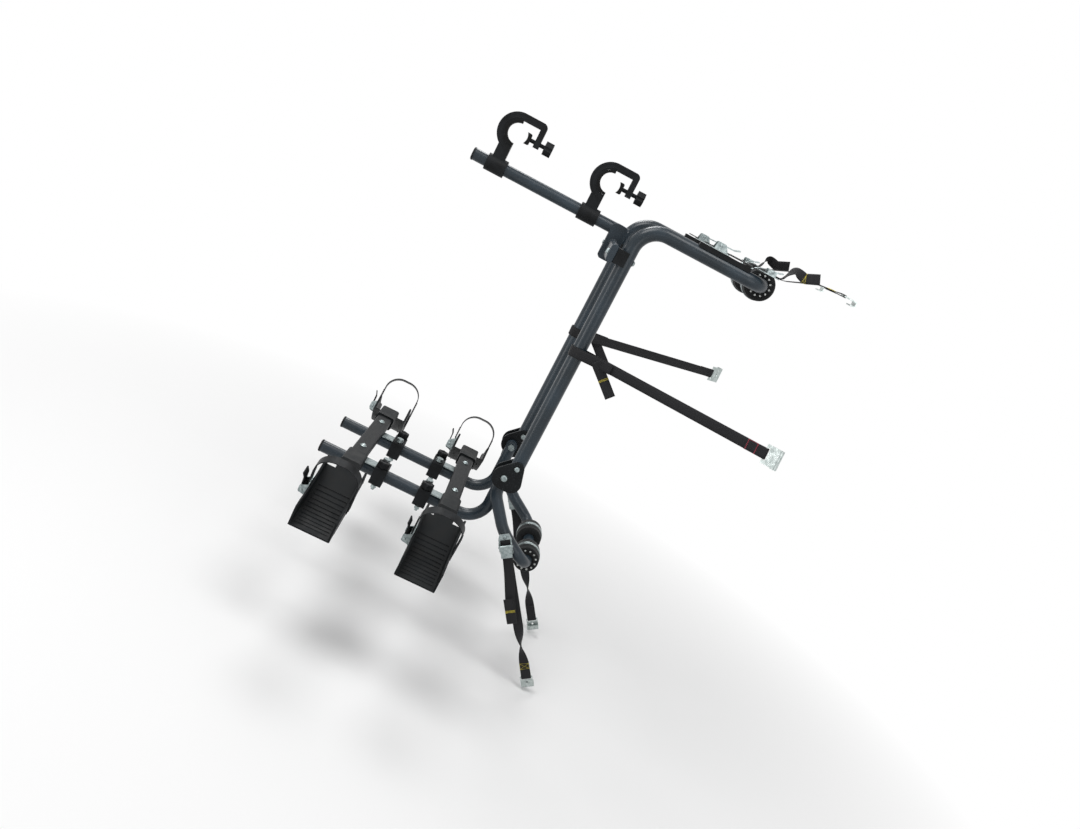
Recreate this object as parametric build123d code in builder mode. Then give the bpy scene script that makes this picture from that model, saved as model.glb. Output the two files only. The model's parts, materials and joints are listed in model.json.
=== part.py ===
from build123d import *
import math
import os

# A strap-on carrier for two bikes. Millimetres, +Z up, +Y toward the car, X across the car.
# The origin is the middle of the joint axis, where hoops and platform meet.
# Each size that can be set by itself is written once here.

# Tubes of the frame
hoop_half_width = 160
upper_tube_d = 35
lower_tube_d = 30
platform_tube_d = 30
tube_wall = 2
vent_d = 6
upright_y = 18
upright_foot_z = 18
upper_arm_z = 687
upper_bar_y = 332
upper_bend_r = 62
upper_elbow_r = 45
lower_knee_z = -50
lower_bow = (60, -130)
lower_bar = (151, -190)
lower_knee_r = 55
lower_bow_r = 140
lower_elbow_r = 45
platform_z = -148
platform_reach = 430
platform_bend_r = 58

# Joint between the hoops and the platform
plate_t = 4
plate_edge_r = 1.2
plate_pivot_lobe_r = 30
plate_bolt_lobe_r = 18
plate_car_lobe_r = 26
plate_car_lobe = (20, -4)
pivot_bolt_d = 10
pivot_hub_d = 20
upright_bolt_d = 8
upright_bolt_z = 34
head_h = 6
stop_lug_t = 3
stop_lug_h = 16
stop_lug_z = -20
hub_setback = 5
stop_lug_gap = 0.3
running_gap = 0.05
side_gap = 0.3

# Cross bar and holding arm
crossbar_y = -19
crossbar_z = 595
crossbar_h = 46
crossbar_t = 18
crossbar_overhang = 2
saddle_flange = 5
holding_arm_d = 30
holding_arm_z = 642
arm_end_past_clamp = 72
arm_foot_t = 4
arm_foot_length = 44
arm_foot_drop = 5
arm_foot_corner_r = 8
cap_h = 5
cap_lip = 1
cap_round = 3.5

# Wheel rails and their clamps on the platform tubes
wheel_plane_inner = -90
wheel_plane_outer = -340
rail_width = 40
rail_height = 28
rail_half_length = 245
rail_corner_r = 5
rail_wall = 2
bracket_t = 3
bracket_width = 36
bracket_corner_r = 6
clamp_offset = 66
clamp_block_y = 32
clamp_block_x = 66
clamp_screw_x = 23
clamp_screw_d = 8
clamp_top = 26
clamp_bottom = 25
clamp_corner_r = 9
clamp_screw_tail = 12
clamp_head_d = 20
clamp_head_h = 9
clamp_head_taper = 8
clamp_nut_r = 7.5
clamp_nut_h = 6.5

# Wheel cups
wheel_r = 350
wheel_x = 525
tyre_low_z = -210
cup_inner_x = 290
cup_outer_x = 487
cup_width = 96
cup_wall = 4
cup_depth = 52
cup_tip_r = 24
cup_neck = 30
sleeve_start_x = 182
sleeve_wall = 4
sleeve_gap = 0.3
sleeve_stop_gap = 1

# Toothed straps and their ratchet buckles
ladder_width = 22
ladder_t = 2.4
ladder_pitch = 6
tooth_h = 1.4
tooth_root = 0.1
tooth_margin = 3
ladder_gap = 0.3
ladder_arch_h = 140
ladder_arch_r = 42
ladder_start_h = 14
ladder_angle = 24
ratchet_length = 46
ratchet_width = 30
ratchet_cheek_h = 20
ratchet_cheek_foot = 18
ratchet_cheek_top = (-14, 6)
ratchet_cheek_r = 5
ratchet_corner_r = 4
ratchet_pin_u = -5
ratchet_lever_t = 3
ratchet_lever_rise = (3, 4, 9)
ratchet_lever_tip = 12
ratchet_pin_d = 5
ratchet_hub_d = 12
ratchet_lever_l = 42
ratchet_h = 34
near_teeth_start = 24
near_teeth_count = 6
far_teeth_start = 8
far_teeth_count = 13
arm_guide_start_y = 150
arm_guide_end_gap = 2
arm_strap_reach = 316
top_buckle_lap = 18
arm_guide_h = 8
arm_guide_saddle = 4
arm_guide_margin = 2
arm_strap_inset = 8
arm_teeth_start = 28
arm_teeth_count = 10
arm_ratchet_y = 200

# Frame clamps on the holding arm
frame_tube_r = 25
grip_z = 732
grip_width = 26
grip_wall = 18
seat_t = 7
throat_drop = 12
grip_reach = 45
collar_length = 50
collar_wall = 6
screw_d = 10
screw_travel = 10
knob_d = 34
knob_length = 20
shoe_t = 8
shoe_depth = 20
shoe_h = 28
shoe_socket = 4
throat_plug = 20
boss_end = 14
neck_width = 34
neck_offset = 14
neck_root = 16
jaw_round = 12
seat_press = 0.2
seat_overlap = 2
knob_lobes = 6
knob_lobe_r = 6

# Foam pads
upper_pad_d = 76
lower_pad_d = 66
pad_length = 72
pad_gap = 0.4
pad_holes = 12
pad_hole_d = 6
pad_hole_pcd = 50
pad_hole_depth = 8
pad_end_gap = 2
pad_round = 3
band_gap = 0.2
band_width = 12
band_t = 1.5

# Webbing and cam buckles
webbing_width = 25
webbing_t = 1.6
buckle_width = 33
buckle_length = 54
buckle_t = 2
buckle_ear_h = 14
buckle_pin_d = 5
cam_r = 5
buckle_nose = (14, 12)
buckle_corner_r = 4
buckle_hole_u = 9
buckle_hole_d = 6.4
buckle_ear_l = 22
cam_lever_t = 2.6
cam_lever_reach = (16, 26)
cam_lever_rise = (3, 4, 8)
cam_lever_r = 9
side_strap_z = 352
side_hook = (450, 448, 387)
top_strap_end_y = 505
top_strap_end_z = 757
top_strap_edge = (440, 752)
top_strap_flat = 50
top_strap_bend_r = 60
web_start_u = 16
top_tail_start = 8
top_tail_bends = ((15, 43.5), (43, 35.5), (76, 50.5))
tail_fold_r = 9
side_tail_u = 70
side_tail_l = 86
side_tail_shift = (4, 0, -2)
side_tail_along = (0, 0.66, -0.75)
side_tail_across = (0, 0.75, 0.66)
side_loop_back_u = 14
side_loop_end = (66, -3.5)
side_loop_r = 12
lower_strap_end = (285, -449)
hook_t = 3
hook_bend_r = 4
hook_return = 12
hook_slot_u = 6
hook_slot_w = 5
hook_hole_d = 6
hook_hole_u = 14
side_hook_size = (44, 40)
top_hook_size = (36, 34)
lower_hook_size = (32, 30)
lower_anchor_y = 69
lower_anchor_z = -137
lower_strap_drop = 2
lower_strap_flat_u = 120
lower_strap_bend_r = 300
lower_tail_start_u = 62
lower_tail_bends = ((150, 9), (218, 12), (222, 20), (160, 19))
lower_tail_radii = (60, 4, 3.5)

os.makedirs("parts", exist_ok=True)


def save(shape, name):
    """Label one node and write it."""
    shape.label = name
    export_step(shape, f"parts/{name}.step")


def mirrored(shape, name):
    """The same piece on the other side of the car's middle plane."""
    twin = mirror(shape, about=Plane.YZ)
    save(twin, name)
    return twin


def pair(shape, name):
    """A piece and its mirrored twin in one node."""
    twin = mirror(shape, about=Plane.YZ)
    save(Compound(children=[*shape.solids(), *twin.solids()]), name)


def strip(plane, points, radius, width, thickness):
    """A flat strap that follows a line in one plane and is as wide as the strap across it."""
    with BuildPart() as strap:
        with BuildSketch(plane):
            with BuildLine():
                FilletPolyline(*points, radius=radius)
            trace(line_width=thickness)
        extrude(amount=width / 2, both=True)
    return strap.part


# Upper hoop: one tube, up one side, over, across under the pads and back

with BuildPart() as upper_hoop:
    with BuildLine():
        route = FilletPolyline(
            (hoop_half_width, upright_y, upright_foot_z),
            (hoop_half_width, upright_y, upper_arm_z),
            (hoop_half_width, upper_bar_y, upper_arm_z),
            (-hoop_half_width, upper_bar_y, upper_arm_z),
            (-hoop_half_width, upright_y, upper_arm_z),
            (-hoop_half_width, upright_y, upright_foot_z),
            radius=[upper_bend_r, upper_elbow_r, upper_elbow_r, upper_bend_r],
        )
    with BuildSketch(Plane(origin=route @ 0, z_dir=route % 0)):
        Circle(upper_tube_d / 2)
        Circle(upper_tube_d / 2 - tube_wall, mode=Mode.SUBTRACT)
    sweep()
    with Locations(Plane.YZ.location * Location((upright_y, upright_bolt_z, 0))):
        Hole(upright_bolt_d / 2 + running_gap, depth=2 * hoop_half_width + upper_tube_d)
save(upper_hoop.part, "upper_hoop")

# Lower hoop: a bent tube with a welded hub at each end that turns on the pivot bolt

hub_length = upper_tube_d - 2 * side_gap
with BuildPart() as lower_hoop:
    with BuildLine():
        low_route = FilletPolyline(
            (hoop_half_width, 0, 0),
            (hoop_half_width, 0, lower_knee_z),
            (hoop_half_width, *lower_bow),
            (hoop_half_width, *lower_bar),
            (-hoop_half_width, *lower_bar),
            (-hoop_half_width, *lower_bow),
            (-hoop_half_width, 0, lower_knee_z),
            (-hoop_half_width, 0, 0),
            radius=[lower_knee_r, lower_bow_r, lower_elbow_r, lower_elbow_r, lower_bow_r, lower_knee_r],
        )
    with BuildSketch(Plane(origin=low_route @ 0, z_dir=low_route % 0)):
        Circle(lower_tube_d / 2)
        Circle(lower_tube_d / 2 - tube_wall, mode=Mode.SUBTRACT)
    sweep()
    for side in (-1, 1):
        with BuildSketch(Plane.YZ.offset(side * hoop_half_width)):
            Circle(lower_tube_d / 2)
        extrude(amount=lower_tube_d / 2 - hub_setback, both=True)
        with BuildSketch(Plane.YZ.offset(side * hoop_half_width)):
            Circle(pivot_hub_d / 2)
        extrude(amount=hub_length / 2, both=True)
    with Locations(Plane.YZ.location):
        Hole(pivot_bolt_d / 2 + running_gap, depth=2 * hoop_half_width + upper_tube_d)
    with BuildSketch(Plane.XY.offset(lower_bar[1] - lower_tube_d)):
        with Locations((0, lower_bar[0])):
            Circle(vent_d / 2)
    extrude(amount=lower_tube_d, mode=Mode.SUBTRACT)
save(lower_hoop.part, "lower_hoop")

# Platform tubes: a leg down from the joint, a bend, and a long run outward under the rails

inner_plate_x = hoop_half_width - upper_tube_d / 2 - plate_t
platform_x = inner_plate_x - side_gap - platform_tube_d / 2
with BuildPart() as platform_tube:
    with BuildLine():
        leg_route = FilletPolyline(
            (platform_x, 0, 0),
            (platform_x, 0, platform_z),
            (platform_x, -platform_reach, platform_z),
            radius=platform_bend_r,
        )
    with BuildSketch(Plane(origin=leg_route @ 0, z_dir=leg_route % 0)):
        Circle(platform_tube_d / 2)
        Circle(platform_tube_d / 2 - tube_wall, mode=Mode.SUBTRACT)
    sweep()
    with BuildSketch(Plane.YZ.offset(platform_x)):
        Circle(platform_tube_d / 2)
    extrude(amount=platform_tube_d / 2 - hub_setback, both=True)
    with BuildSketch(Plane.YZ.offset(platform_x)):
        Circle(pivot_hub_d / 2)
    extrude(amount=platform_tube_d / 2, both=True)
    with Locations(Plane.YZ.offset(platform_x).location):
        Hole(pivot_bolt_d / 2 + running_gap, depth=platform_tube_d)
save(platform_tube.part, "platform_tube_right")
mirrored(platform_tube.part, "platform_tube_left")

with BuildPart() as end_cap:
    with BuildSketch(Plane.XZ.offset(platform_reach)):
        with Locations((platform_x, platform_z)):
            Circle(platform_tube_d / 2 + cap_lip)
    extrude(amount=cap_h)
    fillet(end_cap.faces().sort_by(Axis.Y)[0].edges(), cap_round)
pair(end_cap.part, "platform_end_caps")

# Joint plates: rounded triangles each side of the hoop tubes, with a stop lug on the inner ones


def plate_outline():
    """Rounded triangle round the pivot, the upright's bolt and the car's side."""
    with BuildSketch() as outline:
        Circle(plate_pivot_lobe_r)
        with Locations((upright_y, upright_bolt_z)):
            Circle(plate_bolt_lobe_r)
        with Locations(plate_car_lobe):
            Circle(plate_car_lobe_r)
        make_hull()
        with Locations((0, 0)):
            Circle(pivot_bolt_d / 2 + running_gap, mode=Mode.SUBTRACT)
        with Locations((upright_y, upright_bolt_z)):
            Circle(upright_bolt_d / 2 + running_gap, mode=Mode.SUBTRACT)
    return outline.sketch


outer_plate_x = hoop_half_width + upper_tube_d / 2
with BuildPart() as outer_plate:
    with BuildSketch(Plane.YZ.offset(outer_plate_x)):
        add(plate_outline())
    extrude(amount=plate_t)
    fillet(outer_plate.faces().sort_by(Axis.X)[-1].outer_wire().edges(), plate_edge_r)

lug_y = platform_tube_d / 2 + stop_lug_gap
with BuildPart() as inner_plate:
    with BuildSketch(Plane.YZ.offset(inner_plate_x)):
        add(plate_outline())
    extrude(amount=plate_t)
    with BuildSketch(Plane.YZ.offset(inner_plate_x)):
        with Locations((lug_y + stop_lug_t / 2, stop_lug_z)):
            Rectangle(stop_lug_t, stop_lug_h)
    extrude(amount=-platform_tube_d / 2)

plates = [*outer_plate.part.solids(), *inner_plate.part.solids()]
plates += [s for p in (outer_plate, inner_plate) for s in mirror(p.part, about=Plane.YZ).solids()]
save(Compound(children=plates), "joint_plates")

# Joint bolts: a domed head outside and a nut inside, one pair at the pivot and one at the upright


def cross_bolt(y, z, diameter, x_out, x_in):
    """A bolt along X with its head outside, and its nut as a second solid."""
    with BuildPart() as bolt:
        with BuildSketch(Plane.YZ.offset(x_in - diameter)):
            with Locations((y, z)):
                Circle(diameter / 2)
        extrude(amount=x_out - x_in + diameter)
        with BuildSketch(Plane.YZ.offset(x_out)):
            with Locations((y, z)):
                Circle(diameter * 0.85)
        extrude(amount=head_h)
        fillet(bolt.faces().sort_by(Axis.X)[-1].edges(), head_h * 0.6)
    with BuildPart() as nut:
        with BuildSketch(Plane.YZ.offset(x_in)):
            with Locations((y, z)):
                RegularPolygon(diameter * 0.9, 6)
                Circle(diameter / 2 + running_gap, mode=Mode.SUBTRACT)
        extrude(amount=-diameter * 0.8)
    return [*bolt.part.solids(), *nut.part.solids()]


bolts = cross_bolt(0, 0, pivot_bolt_d, outer_plate_x + plate_t, platform_x - platform_tube_d / 2 - side_gap)
bolts += cross_bolt(upright_y, upright_bolt_z, upright_bolt_d, outer_plate_x + plate_t, inner_plate_x)
pair(Compound(children=bolts), "joint_bolts")

# Cross bar: a flat oval tube on saddles across the outer face of the uprights

crossbar_half = hoop_half_width + upper_tube_d / 2 + crossbar_overhang
with BuildPart() as crossbar:
    with BuildSketch(Plane.YZ):
        with Locations((crossbar_y, crossbar_z)):
            SlotOverall(crossbar_h, crossbar_t, rotation=90)
    extrude(amount=crossbar_half, both=True)
    fillet(crossbar.faces().filter_by(Axis.X).edges(), tube_wall)
    with BuildSketch(Plane.YZ):
        with Locations((crossbar_y, crossbar_z)):
            SlotOverall(crossbar_h - 2 * tube_wall, crossbar_t - 2 * tube_wall, rotation=90)
    extrude(amount=crossbar_half - tube_wall, both=True, mode=Mode.SUBTRACT)
    with BuildSketch(Plane.XY.offset(crossbar_z - crossbar_h)):
        with Locations((0, crossbar_y)):
            Circle(vent_d / 2)
    extrude(amount=crossbar_h, mode=Mode.SUBTRACT)
save(crossbar.part, "crossbar")

saddle_start = crossbar_y + crossbar_t / 2
with BuildPart() as saddle:
    with BuildSketch(Plane.XY.offset(crossbar_z)):
        with Locations((hoop_half_width, (saddle_start + upright_y) / 2)):
            Rectangle(upper_tube_d + 2 * saddle_flange, upright_y - saddle_start)
        with Locations((hoop_half_width, upright_y)):
            Circle(upper_tube_d / 2, mode=Mode.SUBTRACT)
    extrude(amount=crossbar_h / 2 - saddle_flange, both=True)
pair(saddle.part, "crossbar_saddles")

# Holding arm: a tube outward over the bikes, on two welded foot plates round the cross bar

holding_arm_reach = arm_end_past_clamp - wheel_plane_outer
foot_height = holding_arm_z - crossbar_z + crossbar_h - arm_foot_drop + 1
with BuildPart() as holding_arm:
    with BuildSketch(Plane.XZ.offset(-(crossbar_y + arm_foot_length / 2))):
        with Locations((0, holding_arm_z)):
            Circle(holding_arm_d / 2)
    extrude(amount=holding_arm_reach + crossbar_y + arm_foot_length / 2)
    for side in (-1, 1):
        with BuildSketch(Plane.YZ.offset(side * (holding_arm_d / 2 + arm_foot_t / 2 - 1))):
            with Locations((crossbar_y, holding_arm_z)):
                SlotOverall(arm_foot_length, holding_arm_d)
            with Locations((crossbar_y, holding_arm_z + holding_arm_d / 2 - arm_foot_drop - foot_height / 2)):
                RectangleRounded(arm_foot_length - 4, foot_height, arm_foot_corner_r)
            with Locations((crossbar_y, crossbar_z)):
                SlotOverall(crossbar_h, crossbar_t, rotation=90, mode=Mode.SUBTRACT)
        extrude(amount=arm_foot_t / 2, both=True)
    with BuildSketch(Plane.XZ.offset(-(crossbar_y + arm_foot_length / 2))):
        with Locations((0, holding_arm_z)):
            Circle(holding_arm_d / 2 - tube_wall)
    extrude(amount=holding_arm_reach + crossbar_y + arm_foot_length / 2, mode=Mode.SUBTRACT)
save(holding_arm.part, "holding_arm")

with BuildPart() as arm_cap:
    with BuildSketch(Plane.XZ.offset(holding_arm_reach)):
        with Locations((0, holding_arm_z)):
            Circle(holding_arm_d / 2 + cap_lip)
    extrude(amount=cap_h)
    fillet(arm_cap.faces().sort_by(Axis.Y)[0].edges(), cap_round)
save(arm_cap.part, "holding_arm_cap")

# Wheel rails, their brackets, and the clamps that hold them on the platform tubes

tube_top_z = platform_z + platform_tube_d / 2
rail_floor_z = tube_top_z + side_gap + bracket_t
rail_mid_z = rail_floor_z + rail_height / 2


def make_rail(row, plane_y, clamp_y):
    """One rail with the hardware that carries it, at its wheel plane."""
    with BuildPart() as rail:
        with BuildSketch(Plane.YZ):
            with Locations((plane_y, rail_mid_z)):
                RectangleRounded(rail_width, rail_height, rail_corner_r)
                RectangleRounded(rail_width - 2 * rail_wall, rail_height - 2 * rail_wall, rail_corner_r - rail_wall,
                                 mode=Mode.SUBTRACT)
        extrude(amount=rail_half_length, both=True)
        with Locations(Plane.XY.offset(rail_floor_z + rail_height)):
            with Locations((platform_x, plane_y), (-platform_x, plane_y)):
                Hole(clamp_screw_d / 2, depth=rail_height)
    save(rail.part, f"{row}_rail")

    reach = clamp_y - plane_y
    lean = math.copysign(1, reach)
    far_end = clamp_y + lean * clamp_block_y / 2
    near_end = plane_y - lean * rail_width / 2
    with BuildPart() as bracket:
        with BuildSketch(Plane.XY.offset(tube_top_z + side_gap)):
            with Locations((platform_x, (far_end + near_end) / 2)):
                RectangleRounded(bracket_width, abs(far_end - near_end), bracket_corner_r)
            with Locations((platform_x, plane_y)):
                Circle(clamp_screw_d / 2, mode=Mode.SUBTRACT)
        extrude(amount=bracket_t)
    pair(bracket.part, f"{row}_rail_brackets")

    with BuildPart() as block:
        with BuildSketch(Plane.XZ.offset(-clamp_y)):
            with Locations((platform_x, platform_z + (clamp_top - clamp_bottom) / 2)):
                RectangleRounded(clamp_block_x, clamp_top + clamp_bottom, clamp_corner_r)
            with Locations((platform_x, platform_z)):
                Circle(platform_tube_d / 2 + side_gap, mode=Mode.SUBTRACT)
            with Locations((platform_x, platform_z + platform_tube_d / 2 + side_gap + bracket_t / 2)):
                Rectangle(bracket_width, bracket_t, mode=Mode.SUBTRACT)
            with Locations((platform_x, platform_z + platform_tube_d / 2)):
                Rectangle(bracket_width / 2, side_gap * 3, mode=Mode.SUBTRACT)
        extrude(amount=clamp_block_y / 2, both=True)
        with Locations(Plane.XY.offset(platform_z + clamp_top)):
            with Locations((platform_x + clamp_screw_x, clamp_y), (platform_x - clamp_screw_x, clamp_y)):
                Hole(clamp_screw_d / 2 + running_gap, depth=clamp_top + clamp_bottom)
    pair(block.part, f"{row}_tube_clamps")

    with BuildPart() as screws:
        for step in (-1, 1):
            place = (platform_x + step * clamp_screw_x, clamp_y)
            with BuildSketch(Plane.XY.offset(platform_z - clamp_bottom - clamp_screw_tail)):
                with Locations(place):
                    Circle(clamp_screw_d / 2)
            extrude(amount=clamp_top + clamp_bottom + clamp_screw_tail)
            with BuildSketch(Plane.XY.offset(platform_z + clamp_top)):
                with Locations(place):
                    Circle(clamp_head_d / 2)
            extrude(amount=clamp_head_h, taper=clamp_head_taper)
            with BuildSketch(Plane.XY.offset(platform_z - clamp_bottom)):
                with Locations(place):
                    RegularPolygon(clamp_nut_r, 6)
            extrude(amount=-clamp_nut_h)
    pair(screws.part, f"{row}_tube_clamp_screws")


make_rail("outer", wheel_plane_outer, wheel_plane_outer + clamp_offset)
make_rail("inner", wheel_plane_inner, wheel_plane_inner - clamp_offset)

# Wheel cups: a trough round the lower inner quarter of the tyre, with a sleeve over the rail's end

wheel_z = tyre_low_z + wheel_r
sleeve_inner = (rail_width + 2 * sleeve_gap, rail_height + 2 * sleeve_gap)

def from_wheel(radius, x):
    """A point on a circle round the wheel's centre, below it, at one lateral place."""
    return (x, wheel_z - math.sqrt(radius ** 2 - (wheel_x - x) ** 2))


def toward_hub(point, distance):
    """A point moved toward the wheel's centre."""
    run = math.hypot(wheel_x - point[0], wheel_z - point[1])
    return (
        point[0] + (wheel_x - point[0]) * distance / run,
        point[1] + (wheel_z - point[1]) * distance / run,
    )


def make_cup(name, plane_y, side):
    """One wheel cup in its wheel plane, on the right for side 1 and on the left for side -1."""
    floor_start = from_wheel(wheel_r + cup_wall, cup_inner_x)
    floor_end = from_wheel(wheel_r + cup_wall, cup_outer_x)
    floor_mid = from_wheel(wheel_r + cup_wall, (cup_inner_x + cup_outer_x) / 2)
    rim_start = toward_hub(floor_start, cup_depth)
    rim_end = toward_hub(floor_end, cup_depth)
    rim_mid = toward_hub(floor_mid, cup_depth)
    with BuildPart() as cup:
        with BuildSketch(Plane.XZ.offset(-plane_y)):
            with BuildLine():
                ThreePointArc(floor_start, floor_mid, floor_end)
                Line(floor_end, rim_end)
                ThreePointArc(rim_end, rim_mid, rim_start)
                Line(rim_start, floor_start)
            make_face()
            fillet(vertices().sort_by_distance(rim_start)[0], cup_tip_r)
            fillet(vertices().sort_by_distance(rim_end)[0], cup_tip_r)
        extrude(amount=cup_width / 2, both=True)
        with BuildSketch(Plane.YZ.offset(sleeve_start_x)):
            with Locations((plane_y, rail_mid_z)):
                RectangleRounded(sleeve_inner[0] + 2 * sleeve_wall, sleeve_inner[1] + 2 * sleeve_wall, rail_corner_r + 1)
        extrude(amount=cup_inner_x + cup_neck - sleeve_start_x)
        with BuildSketch(Plane.XZ.offset(-plane_y)):
            with Locations((wheel_x, wheel_z)):
                Circle(wheel_r)
        extrude(amount=cup_width / 2 - cup_wall, both=True, mode=Mode.SUBTRACT)
        with BuildSketch(Plane.YZ.offset(sleeve_start_x)):
            with Locations((plane_y, rail_mid_z)):
                RectangleRounded(*sleeve_inner, rail_corner_r)
        extrude(amount=rail_half_length + sleeve_stop_gap - sleeve_start_x, mode=Mode.SUBTRACT)
    shape = cup.part if side > 0 else mirror(cup.part, about=Plane.YZ)
    save(shape, name)


for row, plane_y in (("outer", wheel_plane_outer), ("inner", wheel_plane_inner)):
    for word, side in (("right", 1), ("left", -1)):
        make_cup(f"{row}_cup_{word}", plane_y, side)

# Toothed straps: a smooth band with a tooth every pitch, over each cup and along each hoop arm


def tooth_row(plane, count, face):
    """Teeth along the local X axis of a plane, on the face that lies a distance out from it."""
    with BuildPart() as teeth:
        with BuildSketch(plane):
            for step in range(count):
                with Locations((step * ladder_pitch, face + tooth_h / 2)):
                    Rectangle(ladder_pitch / 2, tooth_h + 2 * tooth_root)
        extrude(amount=ladder_width / 2 - tooth_margin, both=True)
    return teeth.part


def ratchet_frame(plane):
    """Base plate with two cheeks and the lever's pin, on a plane whose X runs along the strap."""
    foot_h = ladder_gap + buckle_t / 2
    with BuildPart() as frame:
        with BuildSketch(plane.offset(ladder_gap)):
            RectangleRounded(ratchet_length, ratchet_width, ratchet_corner_r)
        extrude(amount=buckle_t)
        cheek_plane = Plane(origin=plane.origin, x_dir=plane.x_dir, z_dir=-plane.y_dir)
        for side in (-1, 1):
            middle = side * (ratchet_width - buckle_t) / 2
            with BuildSketch(cheek_plane.offset(middle)):
                with BuildLine():
                    FilletPolyline(
                        (-ratchet_cheek_foot, foot_h), (ratchet_cheek_top[0], ratchet_cheek_h),
                        (ratchet_cheek_top[1], ratchet_cheek_h), (ratchet_cheek_foot, foot_h),
                        radius=ratchet_cheek_r,
                    )
                    Line((ratchet_cheek_foot, foot_h), (-ratchet_cheek_foot, foot_h))
                make_face()
            extrude(amount=buckle_t / 2, both=True)
        with BuildSketch(cheek_plane):
            with Locations((ratchet_pin_u, pin_height)):
                Circle(ratchet_pin_d / 2)
        extrude(amount=ratchet_width / 2, both=True)
    return frame.part


def ratchet_lever(plane):
    """The lever: a toothed hub on the pin and a thumb plate that lies along the strap."""
    side_plane = Plane(origin=plane.origin, x_dir=plane.x_dir, z_dir=-plane.y_dir)
    with BuildPart() as lever:
        with BuildSketch(side_plane):
            with Locations((ratchet_pin_u, pin_height)):
                Circle(ratchet_hub_d / 2)
        extrude(amount=lever_width / 2, both=True)
        with BuildSketch(side_plane):
            with BuildLine():
                FilletPolyline(
                    (ratchet_pin_u, pin_height + ratchet_lever_rise[0]),
                    (ratchet_lever_l - ratchet_lever_tip, pin_height + ratchet_lever_rise[1]),
                    (ratchet_lever_l, pin_height + ratchet_lever_rise[2]), radius=ratchet_lever_tip,
                )
            trace(line_width=ratchet_lever_t)
        extrude(amount=lever_width / 2, both=True)
        with BuildSketch(side_plane):
            with Locations((ratchet_pin_u, pin_height)):
                Circle(ratchet_pin_d / 2 + running_gap)
        extrude(amount=lever_width / 2, both=True, mode=Mode.SUBTRACT)
    return lever.part


strap_floor = ladder_gap + buckle_t + ladder_gap
pin_height = strap_floor + ladder_t + tooth_h + ladder_gap + ratchet_hub_d / 2
lever_width = ratchet_width - 2 * buckle_t - 2 * side_gap
tilt = math.radians(ladder_angle)
radial = Vector(math.sin(tilt), 0, math.cos(tilt))


def cup_planes(plane_y):
    """Where a wheel strap lies: across the trough, and flat on the cup's outer cheek."""
    foot = Vector(wheel_x, plane_y, wheel_z) - radial * wheel_r
    across = Plane(origin=foot, x_dir=(0, 1, 0), z_dir=Vector(0, 1, 0).cross(radial))
    cheek = Plane(origin=foot - Vector(0, cup_width / 2, 0) + radial * ratchet_h, x_dir=radial, z_dir=(0, -1, 0))
    return across, cheek


def wheel_strap(plane_y):
    """A toothed strap from the cup's far cheek, over the tyre, through the ratchet on the near one."""
    across, cheek = cup_planes(plane_y)
    near = -(cup_width / 2 + strap_floor + ladder_t / 2)
    far = cup_width / 2 + ladder_gap + ladder_t / 2
    band = strip(
        across,
        [(near, ladder_start_h), (near, ladder_arch_h), (far, ladder_arch_h), (far, ladder_start_h)],
        ladder_arch_r, ladder_width, ladder_t,
    )
    row_plane = Plane(origin=cheek.origin + radial * near_teeth_start, x_dir=radial, z_dir=cheek.x_dir.cross(cheek.z_dir))
    near_teeth = tooth_row(row_plane, near_teeth_count, strap_floor + ladder_t)
    with BuildPart() as strap:
        add(band)
        add(near_teeth)
        with BuildSketch(across):
            for step in range(far_teeth_count):
                height = ladder_start_h + far_teeth_start + step * ladder_pitch
                with Locations((far + (ladder_t + tooth_h) / 2, height)):
                    Rectangle(tooth_h + 2 * tooth_root, ladder_pitch / 2)
        extrude(amount=ladder_width / 2 - tooth_margin, both=True)
    return strap.part


for row, plane_y in (("outer", wheel_plane_outer), ("inner", wheel_plane_inner)):
    cheek = cup_planes(plane_y)[1]
    pair(wheel_strap(plane_y), f"{row}_wheel_straps")
    pair(ratchet_frame(cheek), f"{row}_wheel_ratchets")
    lever = ratchet_lever(cheek)
    mirrored(lever, f"{row}_wheel_lever_left")
    save(lever, f"{row}_wheel_lever_right")

# Toothed straps along the hoop's arms, on a guide each, with their ratchets

arm_top_z = upper_arm_z + upper_tube_d / 2
top_buckle_y = arm_strap_reach - top_buckle_lap
arm_guide_end_y = upper_bar_y - upper_elbow_r - arm_guide_end_gap
guide_top_z = arm_top_z + arm_guide_h
with BuildPart() as guide:
    with BuildSketch(Plane.XY.offset(arm_top_z - arm_guide_saddle)):
        with Locations((hoop_half_width, (arm_guide_start_y + arm_guide_end_y) / 2)):
            RectangleRounded(ladder_width + 2 * arm_guide_margin, arm_guide_end_y - arm_guide_start_y, 4)
    extrude(amount=arm_guide_saddle + arm_guide_h)
    with BuildSketch(Plane.XZ.offset(-arm_guide_start_y)):
        with Locations((hoop_half_width, upper_arm_z)):
            Circle(upper_tube_d / 2 + ladder_gap)
    extrude(amount=arm_guide_start_y - arm_guide_end_y, mode=Mode.SUBTRACT)
pair(guide.part, "arm_strap_guides")

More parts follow.
